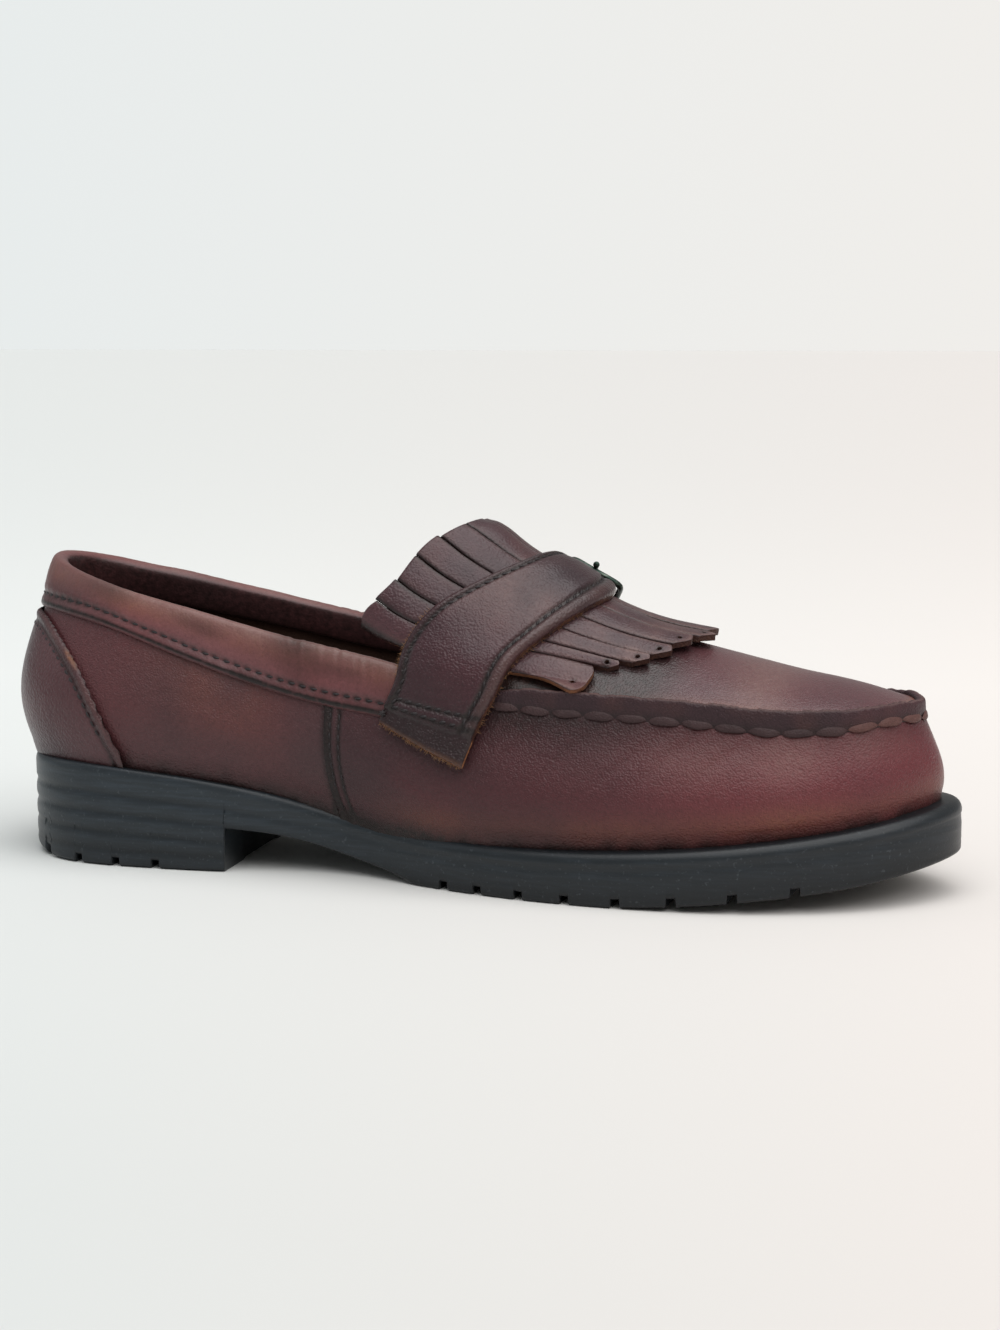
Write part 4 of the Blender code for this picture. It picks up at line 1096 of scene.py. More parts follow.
ridge_leather = leather("dark_ridge_leather", "322126", "24181b", "46292e", cells=1900.0,
                        rough=(0.45, 0.6), coat=0.05)
station = np.linspace(RIDGE_START, RIDGE_END, RIDGE_STEPS)
edge = wall_face(station, 1.0)
ahead = wall_ahead(station, 1.0)
ridge_out = unit(np.stack([ahead[:, 1], -ahead[:, 0], np.zeros_like(station)], -1))
grow = smooth_step(station, RIDGE_START - 0.3, RIDGE_START + RIDGE_RISE) * smooth_step(
    -station, -RIDGE_END - 0.3, -RIDGE_END + RIDGE_RISE
)
section = open_curve(np.arange(len(RIDGE_SECTION)), RIDGE_SECTION)
section = section(np.linspace(0, len(RIDGE_SECTION) - 1, RIDGE_RINGS))
arc = run_of(edge)
outs, ups = section[:, 0][None, :], section[:, 1][None, :]
low_toe = 1 - TOE_LOWER * between(station, *RIDGE_LOW_TOE)
high = np.where(ups > 0, ups * (grow * low_toe)[:, None], ups)
arc_line = np.column_stack([arc, arc * 0, arc * 0])
ragged = (0.35 * lumps(arc_line, 2.6, 41) + 0.16 * lumps(arc_line, 0.9, 42))[:, None]
high = high + ragged * smooth_step(ups, 1.5, 3.3) * grow[:, None]
pulled = 0.1 * np.cos(2 * math.pi * arc / HAND_PITCH)[:, None] * hump(ups, -2.2, 1.8)
wide = outs + 0.14 * lumps(edge, 5, 43)[:, None] - pulled
points = edge[:, None, :] + ridge_out[:, None, :] * wide[..., None]
points[..., 2] += high
top = smooth_step(ups, 2.6, 3.2)
toe_tone = between(station, *RIDGE_RED_TOE)
# Paler top edge: rubbed wear with a painted highlight. Painted shade: darker at the ridge's foot and on
# its inner face.
masks = {
    "worn": 0.36 * top * hump(outs, 0.6, 0.5) * (1 + ragged),
    "dark": 0.6 * hump(ups, -2.8, 1.6) + 0.35 * hump(outs, -1.3, 0.4),
    "red": 0.15 + 0.5 * toe_tone[:, None],
    "tan": np.clip(0.1 * lumps(points, 6, 44), 0, 1) * (1 - top),
}
shoe_piece("seam_ridge", points, tube(points)[1], ridge_leather, (), masks)

thread_leather = leather("waxed_seam_thread", "3f2c2d", "291d1f", "553533", cells=2300.0,
                         relief=0.6, rough=(0.5, 0.62), coat=0.0)
sewn = edge + ridge_out * 0.9
sewn[:, 2] -= HAND_DROP - 0.2
outward = unit(ridge_out + np.array([0, 0, 0.25]))
stitches, tones = [], []
for k in range(int(run_of(sewn)[-1] / HAND_PITCH)):
    middle = (k + 0.5) * HAND_PITCH
    centre, ahead = along_path(sewn, middle)
    if not RIDGE_START + 0.15 < np.interp(middle, arc, station) < RIDGE_END - 0.15:
        continue
    out = at_place(outward, arc, middle)
    size = 1 + 0.09 * math.sin(2.7 * k)
    part = leaf(centre + out * 0.85, ahead, out, HAND_LONG, HAND_HIGH * size, HAND_THICK, k)
    stitches.append(part)
    tones.append(np.full(len(part[0]), np.interp(middle, arc, toe_tone)))
points, faces = gathered(stitches)
tones = np.concatenate(tones)
masks = {"red": 0.6 * tones, "worn": 0.1 * tones, "tan": 0.12 * tones}
shoe_piece("hand_stitches", points, faces, thread_leather, (), masks)

# Heel counter: a stiff dark leather patch over the back of the heel, sewn over the quarters. Its
# edge stands up and is rubbed raw in places, with a row of stitches inside it.
COUNTER_TOP = [
    # stations from the heel, rise of its top edge
    (0, 0.73),
    (0.6, 0.742),
    (1.15, 0.738),
    (1.72, 0.663),
    (2.03, 0.59),
    (2.36, 0.468),
    (2.62, 0.305),
    (2.78, 0.163),
    (2.89, 0.05),
]
COUNTER_THICK, COUNTER_OFF, COUNTER_END = 1.3, 0.35, 2.88
COUNTER_COLUMNS, COUNTER_ROWS = 260, 64

counter_top = curve_of(COUNTER_TOP)
counter_leather = leather("dark_counter_leather", "4a3236", "35262a", "5c3638", cells=1400.0,
                          rough=(0.31, 0.42), coat=0.12)
station, share = np.meshgrid(
    np.linspace(-COUNTER_END, COUNTER_END, COUNTER_COLUMNS), np.linspace(0, 1, COUNTER_ROWS)
)
rise = counter_top(np.abs(station)) * share
face = wall_face(station, rise)
rim = np.linspace(-COUNTER_END, COUNTER_END, 400)[::2]
rim = wall_face(rim, counter_top(np.abs(rim)))
edge = np.minimum(np.linalg.norm(face[:, :, None, :] - rim, axis=-1).min(-1), 40)
relief = COUNTER_OFF + COUNTER_THICK * np.sqrt(np.clip(1 - (1 - np.clip(edge / 0.9, 0, 1)) ** 2, 0, 1))
relief += 0.35 * hump(edge, 1.5, 1.0) - 0.28 * hump(edge, 3.3, 0.7) + foot_relief(face)
relief += 0.12 * lumps(face, 14, 51) + 0.2 * lumps(face, 2.2, 52) * hump(edge, 0.6, 0.8)
points = tucked(wall(station, rise, relief), rise)
rubbed = smooth_step(rise, 0.3, 0.6) * smooth_step(lumps(face, 6, 54), 0.0, 0.6)
masks = {
    "worn": 0.24 * hump(edge, 1.2, 0.9) * (0.55 + 0.5 * lumps(face, 5, 53)),
    "raw": 0.55 * hump(edge, 0.7, 0.5) * rubbed,
    # Painted shadow along the foot line; the rest of the dark mask follows the edge and its stitch row.
    "dark": 0.6 * hump(edge, 3.3, 0.7) + 0.3 * hump(edge, 1.7, 1.2)
    + 0.9 * hump(above_seat(face), 0, 2.4) + 0.8 * hump(edge, 0, 0.35),
    "red": 0.25 + 0.35 * lumps(face, 16, 55),
}
faces = grid_quads(COUNTER_ROWS, COUNTER_COLUMNS)
shoe_piece("counter", points, faces, counter_leather, ["heel_counter"], masks,
           (len(faces) // 2, (-1, 0, 0)))

# Machine stitches: short dark waxed dashes that dip into their holes at both ends.
STITCH_RINGS, STITCH_SIDES = 5, 6


def dash(centre, ahead, out, length, wide, tall, slant):
    """One machine stitch on its line, turned by slant."""
    side = unit(np.cross(out, ahead))
    ahead = unit(ahead * math.cos(slant) + side * math.sin(slant))
    side = unit(np.cross(out, ahead))
    rings = []
    for f in np.linspace(-1, 1, STITCH_RINGS):
        size = math.sqrt(max(1 - f * f, 0.09))
        ring = []
        for k in range(STITCH_SIDES):
            angle = 2 * math.pi * (k + 0.5) / STITCH_SIDES
            ring.append(centre + ahead * f * length / 2 + side * wide / 2 * size * math.cos(angle)
                        + out * (tall / 2 * size * math.sin(angle) - 0.45 * tall * f * f))
        rings.append(ring)
    return tube(rings)


def stitch_row(path, outs, pitch, length, wide=0.8, tall=0.6, slant=0.12):
    """Dashes at even distances along a path of points with its outward directions."""
    run = run_of(path)
    made = []
    for k in range(int(run[-1] / pitch)):
        middle = (k + 0.5) * pitch
        centre, ahead = along_path(path, middle)
        made.append(dash(centre, ahead, unit(at_place(outs, run, middle)), length, wide, tall, slant))
    return made


thread, tree, place = new_finish("dark_sewing_thread")
twist = noise(tree, place, 2600.0, 3.0)
surface(tree, {"Base Color": blended(tree, twist, "120d0f", "261c1f"), "Roughness": 0.6},
        (twist, 0.5, 0.0002))

station = np.linspace(-2.62, 2.62, 240)
rise = counter_top(np.abs(station) * 1.035) - 0.075
line = wall(station, rise, COUNTER_OFF + COUNTER_THICK - 0.1)
stitches = stitch_row(line, wall_out(station, rise), 3.1, 2.4)
rise = np.linspace(0.97, 0.14, 60)
for row in SEAM_ROWS:
    for station in (vamp_edge(rise) + row, AROUND - (vamp_edge(rise) + row)):
        line = wall(station, rise, wall_relief(station, rise, True) + 0.12)
        stitches += stitch_row(line, wall_out(station, rise), 3.0, 0.72 * 3.0, slant=0.15)
points, faces = gathered(stitches)
shoe_piece("counter_and_seam_stitches", points, faces, thread)

# Collar band: soft leather folded over the top edge from the throat round the heel, with its
# lower edge turned under and sewn down. The fold is rubbed to a paler tan.
BAND_FOOT = [
    # stations from the heel, rise of its lower edge
    (0, 0.75),
    (1.2, 0.78),
    (2.45, 0.797),
    (3.3, 0.76),
    (4.0, 0.715),
    (4.7, 0.692),
    (5.6, 0.687),
    (6.5, 0.695),
    (7.85, 0.72),
]
BAND_THICK, BAND_INSIDE, BAND_END = 1.3, 0.84, 7.85
BAND_COLUMNS = 620
BAND_KNOTS = (0, 0.35, 0.8, 1.6, 3.2, 5.0, 5.7, 6.3, 6.9, 7.6, 8.6, 9.0)
BAND_TURNED, BAND_LEVEL, BAND_OUTSIDE = 8, 20, 6.3
STITCH_UP, BAND_PITCH = 2.9, 3.6

band_foot = curve_of(BAND_FOOT)
band_leather = leather("burgundy_band_leather", "6e494b", "4a3134", "7c4446", cells=1700.0,
                       relief=0.3, rough=(0.33, 0.44), coat=0.1)
station = np.linspace(-BAND_END, BAND_END, BAND_COLUMNS)
foot = band_foot(np.abs(station))
far = GAP + BAND_THICK
inner = WALL_THICK + far
lift = np.array([0, 0, 1.0])
controls = np.array([
    wall(station, foot, 0.2),
    wall(station, foot - 0.004, 0.8),
    wall(station, foot + 0.01, far),
    wall(station, foot + 0.05, far + 0.1),
    wall(station, (foot + 1) / 2, far + 0.45),
    wall(station, 0.985, far + 0.2),
    wall(station, 1.0, 0.75) + lift * 1.35,
    wall(station, 1.0, -WALL_THICK / 2) + lift * 1.95,
    wall(station, 1.0, -WALL_THICK - 0.9) + lift * 1.3,
    wall(station, 0.985, -inner),
    wall(station, BAND_INSIDE, -inner),
    wall(station, BAND_INSIDE, -WALL_THICK - 0.1),
])
spots = np.concatenate([
    np.linspace(0, 1.6, 14), np.linspace(1.6, 6.9, 36)[1:], np.linspace(6.9, 9, 15)[1:]
])
band = open_curve(BAND_KNOTS, controls.reshape(len(controls), -1))(spots)
band = band.reshape(len(spots), BAND_COLUMNS, 3)
band_out = grid_out(band)
if band_out[BAND_LEVEL, BAND_COLUMNS // 2, 0] > 0:
    band_out = -band_out
rise_up = np.linalg.norm(band - band[BAND_TURNED], axis=-1)
spot, away = spots[:, None], np.abs(station)[None, :]
outside = spot < BAND_OUTSIDE
arc = run_of(band[BAND_LEVEL])[None, :]
sewn = hump(rise_up, STITCH_UP, 0.8) * outside
pucker = 0.5 + 0.5 * np.cos(2 * math.pi * arc / BAND_PITCH)
front = between(away, (4.7, 5.6), (7.1, 7.6))
along_edge = np.stack([arc + 0 * rise_up, rise_up * 0.16, 0 * rise_up], -1)
relief = -0.34 * sewn * (0.6 + 0.4 * pucker)
relief += 0.16 * hump(rise_up, STITCH_UP + 1.9, 1.2) * outside * (1 - 0.5 * pucker)
relief += lumps(along_edge, 1.5, 61) * (0.06 + 0.2 * front) * hump(spot, 5.2, 2.0)
relief += 0.22 * lumps(band, 15, 62) + 0.08 * lumps(band, 5, 63)
relief += 0.12 * lumps(band, 1.8, 64) * hump(rise_up, 0.3, 0.8)
band = band + band_out * relief[..., None]
streaks = np.clip(lumps(along_edge * [0.06, 1.2, 1], 1.0, 68), 0, 1)
masks = {
    "worn": hump(spot, 5.75, 1.1) * (0.6 + 0.25 * lumps(band, 12, 65))
    * (0.45 + 0.55 * smooth_step(away, 1.5, 3.5)),
    "tan": 0.6 * hump(spot, 4.8, 1.3) * (0.6 + 0.6 * lumps(band, 17, 66)),
    "red": 0.3 + 0.3 * lumps(band, 20, 67) + 0.1 * front * hump((spot - 1.6) / 5.0, 0.4, 0.4),
    # The dark mask: the stitch row and streaks, darker towards the throat, and painted shade inside the
    # collar, along the turned-under lower edge and towards it.
    "dark": 0.6 * sewn * pucker + 0.8 * smooth_step(spot, 6.5, 7.4)
    + outside * (0.22 * front + 0.75 * hump(rise_up, 0.0, 0.7) + 0.45 * streaks
                 + 0.25 * (1 - smooth_step(rise_up, 2, 5))),
}
faces = grid_quads(len(spots), BAND_COLUMNS, closed_rows=True)
for column in (0, BAND_COLUMNS - 1):
    faces.append([row * BAND_COLUMNS + column for row in range(len(spots))])
shoe_piece("collar_band_leather", band, faces, band_leather, ["collar_band"], masks)

rows = np.argmin(np.abs(rise_up[: np.searchsorted(spots, 5)] - STITCH_UP), axis=0)
columns = np.arange(BAND_COLUMNS)
outs = band_out[rows, columns]
path = band[rows, columns] + outs * 0.12
kernel = np.ones(9) / 9
path[4:-4] = np.stack([np.convolve(path[:, n], kernel, "valid") for n in range(3)], -1)
points, faces = gathered(stitch_row(path, outs, BAND_PITCH, 2.5, wide=0.75))
shoe_piece("band_stitches", points, faces, thread)

# Kiltie: one piece of firm leather over the instep, under the strap. It is slit into strips at
# its rear edge and into a fringe at the front, each strip with a blunt point and a punched hole.
# Its place u runs from the inner end (-1) to the outer end (1), and v is the row of the table.
KILTIE_ROWS = [
    # in_x, in_y, in_z, top_x, top_z, out_x, out_y, out_z
    (115.5, -28, 75.5, 147, 106.3, 121, 29.5, 75.5),
    (126, -30.5, 71, 154, 101.0, 131, 32, 71.5),
    (138, -32, 68, 161.5, 96.2, 142, 33.8, 69),
    (150, -33, 66, 169.5, 91.4, 154, 34.8, 67),
    (163, -33.8, 64.2, 178, 86.4, 166, 34.8, 65.0),
    (175, -33.6, 62.8, 190, 80.2, 178, 34.2, 63.6),
    (184, -33.4, 61.9, 203, 75.6, 188, 33.6, 62.6),
    (189, -33.4, 61.2, 218, 73.0, 194, 33.4, 61.8),
]
KILTIE_THICK = 1.9
KILTIE_REAR_POWER, KILTIE_TIP_POWER, KILTIE_LEAN_POWER = 0.53, 0.9, 1.15
HOLE_RADIUS, HOLE_BACK = 0.62, 3.4
STRIP_FORMS = [
    # lift at the front, tilt across, longer by, chevron depth, slit at the tip, slit at the rear
    (0.3, -0.5, -3.4, 2.0, 0.8, 0.0),
    (0.0, 0.7, -3.2, 1.6, 0.9, 0.0),
    (0.4, 0.5, 0.4, 2.6, 0.8, 0.05),
    (0.1, 0.6, 0.3, 3.0, 0.8, 0.10),
    (0.7, 0.3, -0.8, 2.6, 0.7, 0.20),
    (0.2, -0.3, 0.9, 2.9, 0.8, 0.12),
    (0.6, 0.4, -0.3, 2.8, 0.8, 0.08),
    (0.2, -0.5, 0.5, 2.8, 0.8, 0.06),
    (0.5, 0.3, 0.0, 2.8, 0.9, 0.05),
    (0.1, -0.6, 0.4, 2.8, 0.8, 0.05),
    (0.4, 0.4, -0.4, 2.4, 0.9, 0.04),
    (0.2, 0.3, -0.3, 2.2, 0.8, 0.03),
]
STRIPS = len(STRIP_FORMS)
# Where the slits lie from the inner edge to the middle, at the rear and at the fringe.
REAR_SLITS = (-1.0, -0.945, -0.845, -0.70, -0.525, -0.29, 0.0)
FRONT_SLITS = (-1.0, -0.85, -0.765, -0.64, -0.47, -0.25, 0.0)
CURL_OUT, CURL_DOWN = 0.24, 3.7
REAR_CUT = 0.42
kiltie_rows = open_curve(range(len(KILTIE_ROWS)), KILTIE_ROWS)


def kilt(u, v, lift=0.0):
    """The kiltie's top face, moved out along its normal by lift."""
    u, v = np.broadcast_arrays(np.asarray(u, float), np.asarray(v, float))
    step = 0.01

    def face(u, v):
        row = kiltie_rows(v)
        share = (u[..., None] + 1) / 2
        made = row[..., :3] * (1 - share) + row[..., 5:] * share
        base = (row[..., :3] + row[..., 5:]) / 2
        power = KILTIE_REAR_POWER + (KILTIE_TIP_POWER - KILTIE_REAR_POWER) * smooth_step(v, 0, 4)
        made[..., 0] += (row[..., 3] - base[..., 0]) * arch(u, KILTIE_LEAN_POWER)
        made[..., 2] += (row[..., 4] - base[..., 2]) * arch(u, power)
        return made

    inside = np.clip(u, -0.97, 0.97)
    held = np.clip(v, step, len(KILTIE_ROWS) - 1 - step)
    along = face(inside, held + step) - face(inside, held - step)
    over = face(inside + step, v) - face(inside - step, v)
    beyond = (v - held)[..., None] * along / (2 * step)
    return face(u, held) + beyond + across(along, over) * np.asarray(lift, float)[..., None]


def slab(top, bottom, kept=None, levels=(0.1, 0.5, 0.9), fray=0.0, seed=1):
    """A solid between two grids of points: its points, faces, and which points are the rim's or
    the underside's. Its rim has rings between the two faces, roughened by fray."""
    rows, columns = top.shape[:2]
    count = rows * columns
    cells = np.ones((rows - 1, columns - 1), bool) if kept is None else kept
    faces, border = [], {}
    for i, j in zip(*np.nonzero(cells)):
        k = int(i * columns + j)
        ring = (k, k + 1, k + columns + 1, k + columns)
        faces.append(ring)
        faces.append(tuple(count + n for n in reversed(ring)))
        for a, b in zip(ring, ring[1:] + ring[:1]):
            if (b, a) in border:
                del border[b, a]
            else:
                border[a, b] = True
    upper, under = top.reshape(-1, 3), bottom.reshape(-1, 3)
    rim = sorted({n for pair in border for n in pair})
    number = {n: i for i, n in enumerate(rim)}
    outward = np.zeros((len(rim), 3))
    for a, b in border:
        turn = np.cross(upper[b] - upper[a], upper[a] - under[a])
        outward[number[a]] += unit(turn)
        outward[number[b]] += unit(turn)
    outward = unit(outward)
    points = [upper, under]
    for step, level in enumerate(levels):
        ring = upper[rim] * (1 - level) + under[rim] * level
        rough = fray * lumps(ring, 0.9, seed + step) + 0.25 * fray
        points.append(ring + outward * rough[:, None])

    def at(n, level):
        if level == 0:
            return n
        return n + count if level > len(levels) else 2 * count + (level - 1) * len(rim) + number[n]

    for a, b in border:
        for level in range(len(levels) + 1):
            faces.append((at(b, level), at(a, level), at(a, level + 1), at(b, level + 1)))
    points = np.concatenate(points)
    place = np.zeros(len(points))
    place[count : 2 * count] = 2
    place[2 * count :] = 1
    return points, faces, place


def only_used(points, faces, *lists):
    """Drops the points that no face uses."""
    used = np.zeros(len(points), bool)
    for face in faces:
        used[list(face)] = True
    number = np.cumsum(used) - 1
    faces = [[int(number[n]) for n in face] for face in faces]
    return (points[used], faces, *[values[used] for values in lists])


def over_slab(masks, shape, count):
    """A slab's masks from its top face's: the underside has the same, and the rim 0."""
    whole = {}
    for name, values in masks.items():
        values = np.broadcast_to(np.clip(values, 0, 1), shape).ravel()
        whole[name] = np.concatenate([values, values, np.zeros(count - 2 * len(values))])
    return whole


def fan(place, v):
    """The u of a line between strips; place counts strips from the inner end."""
    place = np.asarray(place, float)
    rear, front = [
        np.interp(place, np.arange(STRIPS + 1), np.concatenate([half, -np.array(half[-2::-1])]))
        for half in (REAR_SLITS, FRONT_SLITS)
    ]
    return rear + (front - rear) * smooth_step(v, 0.8, 5.6)


def strip_of_kiltie(k):
    """One strip: points, faces and masks."""
    lift, tilt, longer, chevron, open_slit, open_rear = STRIP_FORMS[k]
    cols = np.concatenate([[0, 0.025, 0.06], np.linspace(0.12, 0.42, 5), np.linspace(0.445, 0.555, 8),
                           np.linspace(0.58, 0.88, 5), [0.94, 0.975, 1]])
    tip_v = len(KILTIE_ROWS) - 1
    middle_u = fan(k + 0.5, tip_v)
    per_v = np.linalg.norm(kilt(middle_u, tip_v) - kilt(middle_u, tip_v - 0.1)) * 10
    wide = np.linalg.norm(kilt(fan(k + 1, 6.0), 6.0) - kilt(fan(k, 6.0), 6.0))
    end = tip_v + (longer - chevron * np.abs(2 * cols - 1) ** 1.25) / per_v
    if k == 0:
        end = tip_v + (longer - 3.0 * np.abs(2 * cols - 1) ** 2.6) / per_v
    start = 0.028 * math.sin(3.1 * k + 1) + 0.03 * (cols - 0.5) * math.cos(5.3 * k)
    start = start + REAR_CUT * hump(k + cols, 1.7, 1.5)
    hole_t = 1 - (HOLE_BACK / per_v) / (tip_v + longer / per_v)
    span = 0.011
    t = np.concatenate([
        [0, 0.004, 0.012], np.linspace(0.022, hole_t - span, 96),
        np.linspace(hole_t - 0.85 * span, hole_t + 0.85 * span, 12),
        np.linspace(hole_t + span, 0.985, 5), [0.992, 0.997, 1],
    ])
    v = start[None, :] + (end - start)[None, :] * t[:, None]
    w = np.broadcast_to(cols[None, :], v.shape)
    rear = 1 - smooth_step(v, 0.2, 3.0)
    front = smooth_step(v, 3.9, 6.6)
    half_gap = 0.02 + open_rear * rear**1.6 + 0.5 * open_slit * smooth_step(v, 4.2, 6.9) ** 1.2
    place = k + 0.5 + (w - 0.5) * (1 - 2 * half_gap / wide)
    if k in (0, STRIPS - 1):
        outer = (w < 0.5) if k == 0 else (w > 0.5)
        place = np.where(outer, k + w, place)
    u = fan(place, v)
    edge = np.minimum(w, 1 - w) * wide
    up = 0.22 * (1 - (2 * w - 1) ** 2) - 0.38 * (1 - np.clip(edge / 0.5, 0, 1)) ** 2
    up += front * (lift + tilt * (w - 0.5) * 1.6)
    if k > 1:
        up += rear * (0.35 * (w - 0.5) + 0.12 * math.sin(2.3 * k))
    up -= 0.35 * (1 - np.clip(t[:, None] / 0.006, 0, 1)) ** 2
    crown = hump(u, 0.06, 0.42)
    up += crown * (0.7 * hump(v, 0.95, 0.6) - 1.5 * hump(v, 0.0, 0.3))
    if k == 0:
        loose = smooth_step(v, 4.3, 6.3)
        u = u - CURL_OUT * loose * (1 - w)
        up = up - CURL_DOWN * loose * (1 - w) ** 2 + 1.1 * hump(v, 5.0, 0.6) * (1 - w)
    flat = kilt(u, v)
    up += 0.16 * lumps(flat, 9, 71 + k) + 0.05 * lumps(flat, 3, 81)
    top, bottom = kilt(u, v, up), kilt(u, v, up - KILTIE_THICK)
    centre_t = int(np.argmin(np.abs(t - hole_t)))
    centre = (top[centre_t, 11] + top[centre_t, 10]) / 2
    mids = (top[:-1, :-1] + top[1:, 1:]) / 2
    kept = np.linalg.norm(mids - centre, axis=-1) > HOLE_RADIUS
    touched = np.zeros(t.shape + cols.shape, bool)
    gone = ~kept
    for di in (0, 1):
        for dj in (0, 1):
            touched[di : di + gone.shape[0], dj : dj + gone.shape[1]] |= gone
    aside = top - centre
    down = unit(top[centre_t, 10] - bottom[centre_t, 10])
    aside = aside - (aside @ down)[..., None] * down
    snapped = unit(aside) * HOLE_RADIUS - aside
    top = np.where(touched[..., None], top + snapped, top)
    bottom = np.where(touched[..., None], bottom + snapped, bottom)
    points, faces, rim = slab(top, bottom, kept, fray=0.1, seed=90 + k)
    far_end = np.minimum((1 - t[:, None]) * 110, 40) + 0 * w
    near_cut = np.minimum(edge, far_end)
    hole = np.linalg.norm(flat - centre, axis=-1)
    mottle = lumps(flat, 14, 72) * 0.6 + lumps(flat, 5, 73) * 0.4
    slit_shade = hump(edge, 0, 0.7) * (0.35 + 0.4 * rear)
    # Painted light: shade in the slits and round the punched hole, and a painted highlight over the
    # fringe from v 4.4 on; the paler cut edges are wear.
    masks = {
        "worn": 0.55 * hump(near_cut, 0.7, 0.7) * (0.4 + 0.5 * mottle) * (front + 0.4)
        + 0.25 * smooth_step(v, 4.4, 5.4) * np.clip(0.3 + mottle, 0, 1),
        "dark": slit_shade + 0.8 * hump(hole, 0.6, 0.6) + 0.3 * hump(near_cut, 0, 0.3),
        "red": 0.16 + 0.3 * mottle + 0.3 * (1 - smooth_step(k + w, 0, 3)),
        "tan": 0.12 * mottle,
    }
    whole = over_slab(masks, v.shape, len(points))
    whole["raw"] = np.where(rim == 0, 0, np.where(rim == 1, 0.65 if k == 0 else 0.14, 0.1))
    whole["dark"] = np.where(rim == 0, whole["dark"], 0.1 if k == 0 else 0.5)
    points, faces, *kept_masks = only_used(points, faces, *whole.values())
    return points, faces, dict(zip(whole, kept_masks))


kiltie_leather = leather("dark_kiltie_leather", "443034", "35252a", "573337", cells=1500.0,
                         relief=0.75, rough=(0.31, 0.42), coat=0.2)
strips = [strip_of_kiltie(k) for k in range(STRIPS)]
points, faces = gathered([strip[:2] for strip in strips])
masks = {name: np.concatenate([strip[2][name] for strip in strips]) for name in strips[0][2]}
shoe_piece("kiltie_strips", points, faces, kiltie_leather, ["kiltie"], masks)

# Tongue: a soft leather tongue under the kiltie, sewn in under the apron's throat.
TONGUE_SIDE, TONGUE_THICK, TONGUE_TUCK = 0.86, 2.0, 4.2
TONGUE_BEND, TONGUE_REAR, TONGUE_FRONT = 1.3, 0.5, 3.1

tongue_leather = leather("soft_tongue_leather", "4a3431", "372725", "5a3c38", cells=1500.0)
turns = np.sin(np.linspace(-TONGUE_BEND, TONGUE_BEND, 70)) / math.sin(TONGUE_BEND)
u, v = np.meshgrid(turns * TONGUE_SIDE, np.linspace(TONGUE_REAR, TONGUE_FRONT, 40))
under = 0.5 + KILTIE_THICK + TONGUE_TUCK * smooth_step(v, 0.7, 1.9)
soft = 0.12 * lumps(kilt(u, v), 8, 74)
rounded = 0.5 * (1 - np.clip((v - TONGUE_REAR) / 0.06, 0, 1)) ** 2
points, faces, rim = slab(
    kilt(u, v, soft - under - rounded), kilt(u, v, soft - under - TONGUE_THICK + rounded)
)
shoe_piece("tongue_leather", points, faces, tongue_leather, ["tongue"],
           {"raw": 0.4 * (rim == 1), "dark": 0.3 * (rim != 0)})

# Strap: a padded leather strap, sewn down on the inner side, over the kiltie and narrowing into
# the buckle on the outer side. It has a row of stitches along each edge, and two across its end.
STRAP_ON_WALL = [
    # rear station, rear rise, front station, front rise
    (7.11, 0.67, 8.23, 0.50),
    (7.24, 0.81, 8.42, 0.78),
    (7.37, 0.97, 8.60, 0.97),
]
STRAP_ON_KILTIE = [
    # u, rear v, front v, lift
    (-1.0, 1.50, 4.05, 0.7),
    (-0.88, 1.65, 4.20, 0.6),
    (-0.70, 1.90, 4.40, 0.6),
    (-0.40, 2.25, 4.60, 0.6),
    (-0.12, 2.50, 4.70, 0.55),
    (0.10, 2.75, 4.62, 0.55),
    (0.24, 3.05, 4.46, 0.5),
    (0.36, 3.28, 4.38, 0.6),
    (0.46, 3.33, 4.34, 0.8),
    (0.54, 3.34, 4.34, 2.8),
    (0.61, 3.34, 4.34, 4.9),
    (0.68, 3.33, 4.33, 5.9),
    (0.78, 3.31, 4.31, 4.5),
    (0.88, 3.28, 4.28, 3.3),
    (0.95, 3.26, 4.26, 2.8),
]
STRAP_OFF_WALL = 2.2
STRAP_THICK, STRAP_TIP_THICK, STRAP_PAD = 2.7, 1.9, 1.15
SKIVED = (7.5, 10.5)
STRAP_ROWS, STRAP_COLUMNS = 250, 56
REAR_BORDER, FRONT_BORDER = 2.5, 4.1
FLAP_LONG = 7.0
END_ROWS = (8.0, 11.2)
STRAP_PITCH, STRAP_ROWS_END = 3.1, 10.6
HOLES_FROM_TIP = (7.5, 14.0, 20.5)
TORN_AT = 28

share = np.concatenate([
    [0, 0.008, 0.02, 0.04], np.linspace(0.06, 0.94, STRAP_COLUMNS - 8), [0.96, 0.98, 0.992, 1]
])
rows = []
for rear_s, rear_r, front_s, front_r in STRAP_ON_WALL:
    station, rise = rear_s + (front_s - rear_s) * share, rear_r + (front_r - rear_r) * share
    rows.append(wall(station, rise, STRAP_OFF_WALL))
for u, rear_v, front_v, lift in STRAP_ON_KILTIE:
    rows.append(kilt(u, rear_v + (front_v - rear_v) * share, lift))
rows = np.array(rows)
knots = np.arange(len(rows))
steps = np.concatenate([
    [0, 0.01, 0.03],
    np.linspace(0.06, knots[-1] - 0.06, STRAP_ROWS - 6),
    knots[-1] - np.array([0.03, 0.01, 0]),
])
under = open_curve(knots, rows.reshape(len(rows), -1))(steps).reshape(len(steps), -1, 3)
out = grid_out(under)
if out[5, STRAP_COLUMNS // 2, 1] > 0:
    out = -out
sewn_end = under[0, STRAP_COLUMNS // 2]
run = run_of(under[:, STRAP_COLUMNS // 2])[:, None]
wide = np.linalg.norm(under[:, -1] - under[:, 0], axis=1)[:, None]
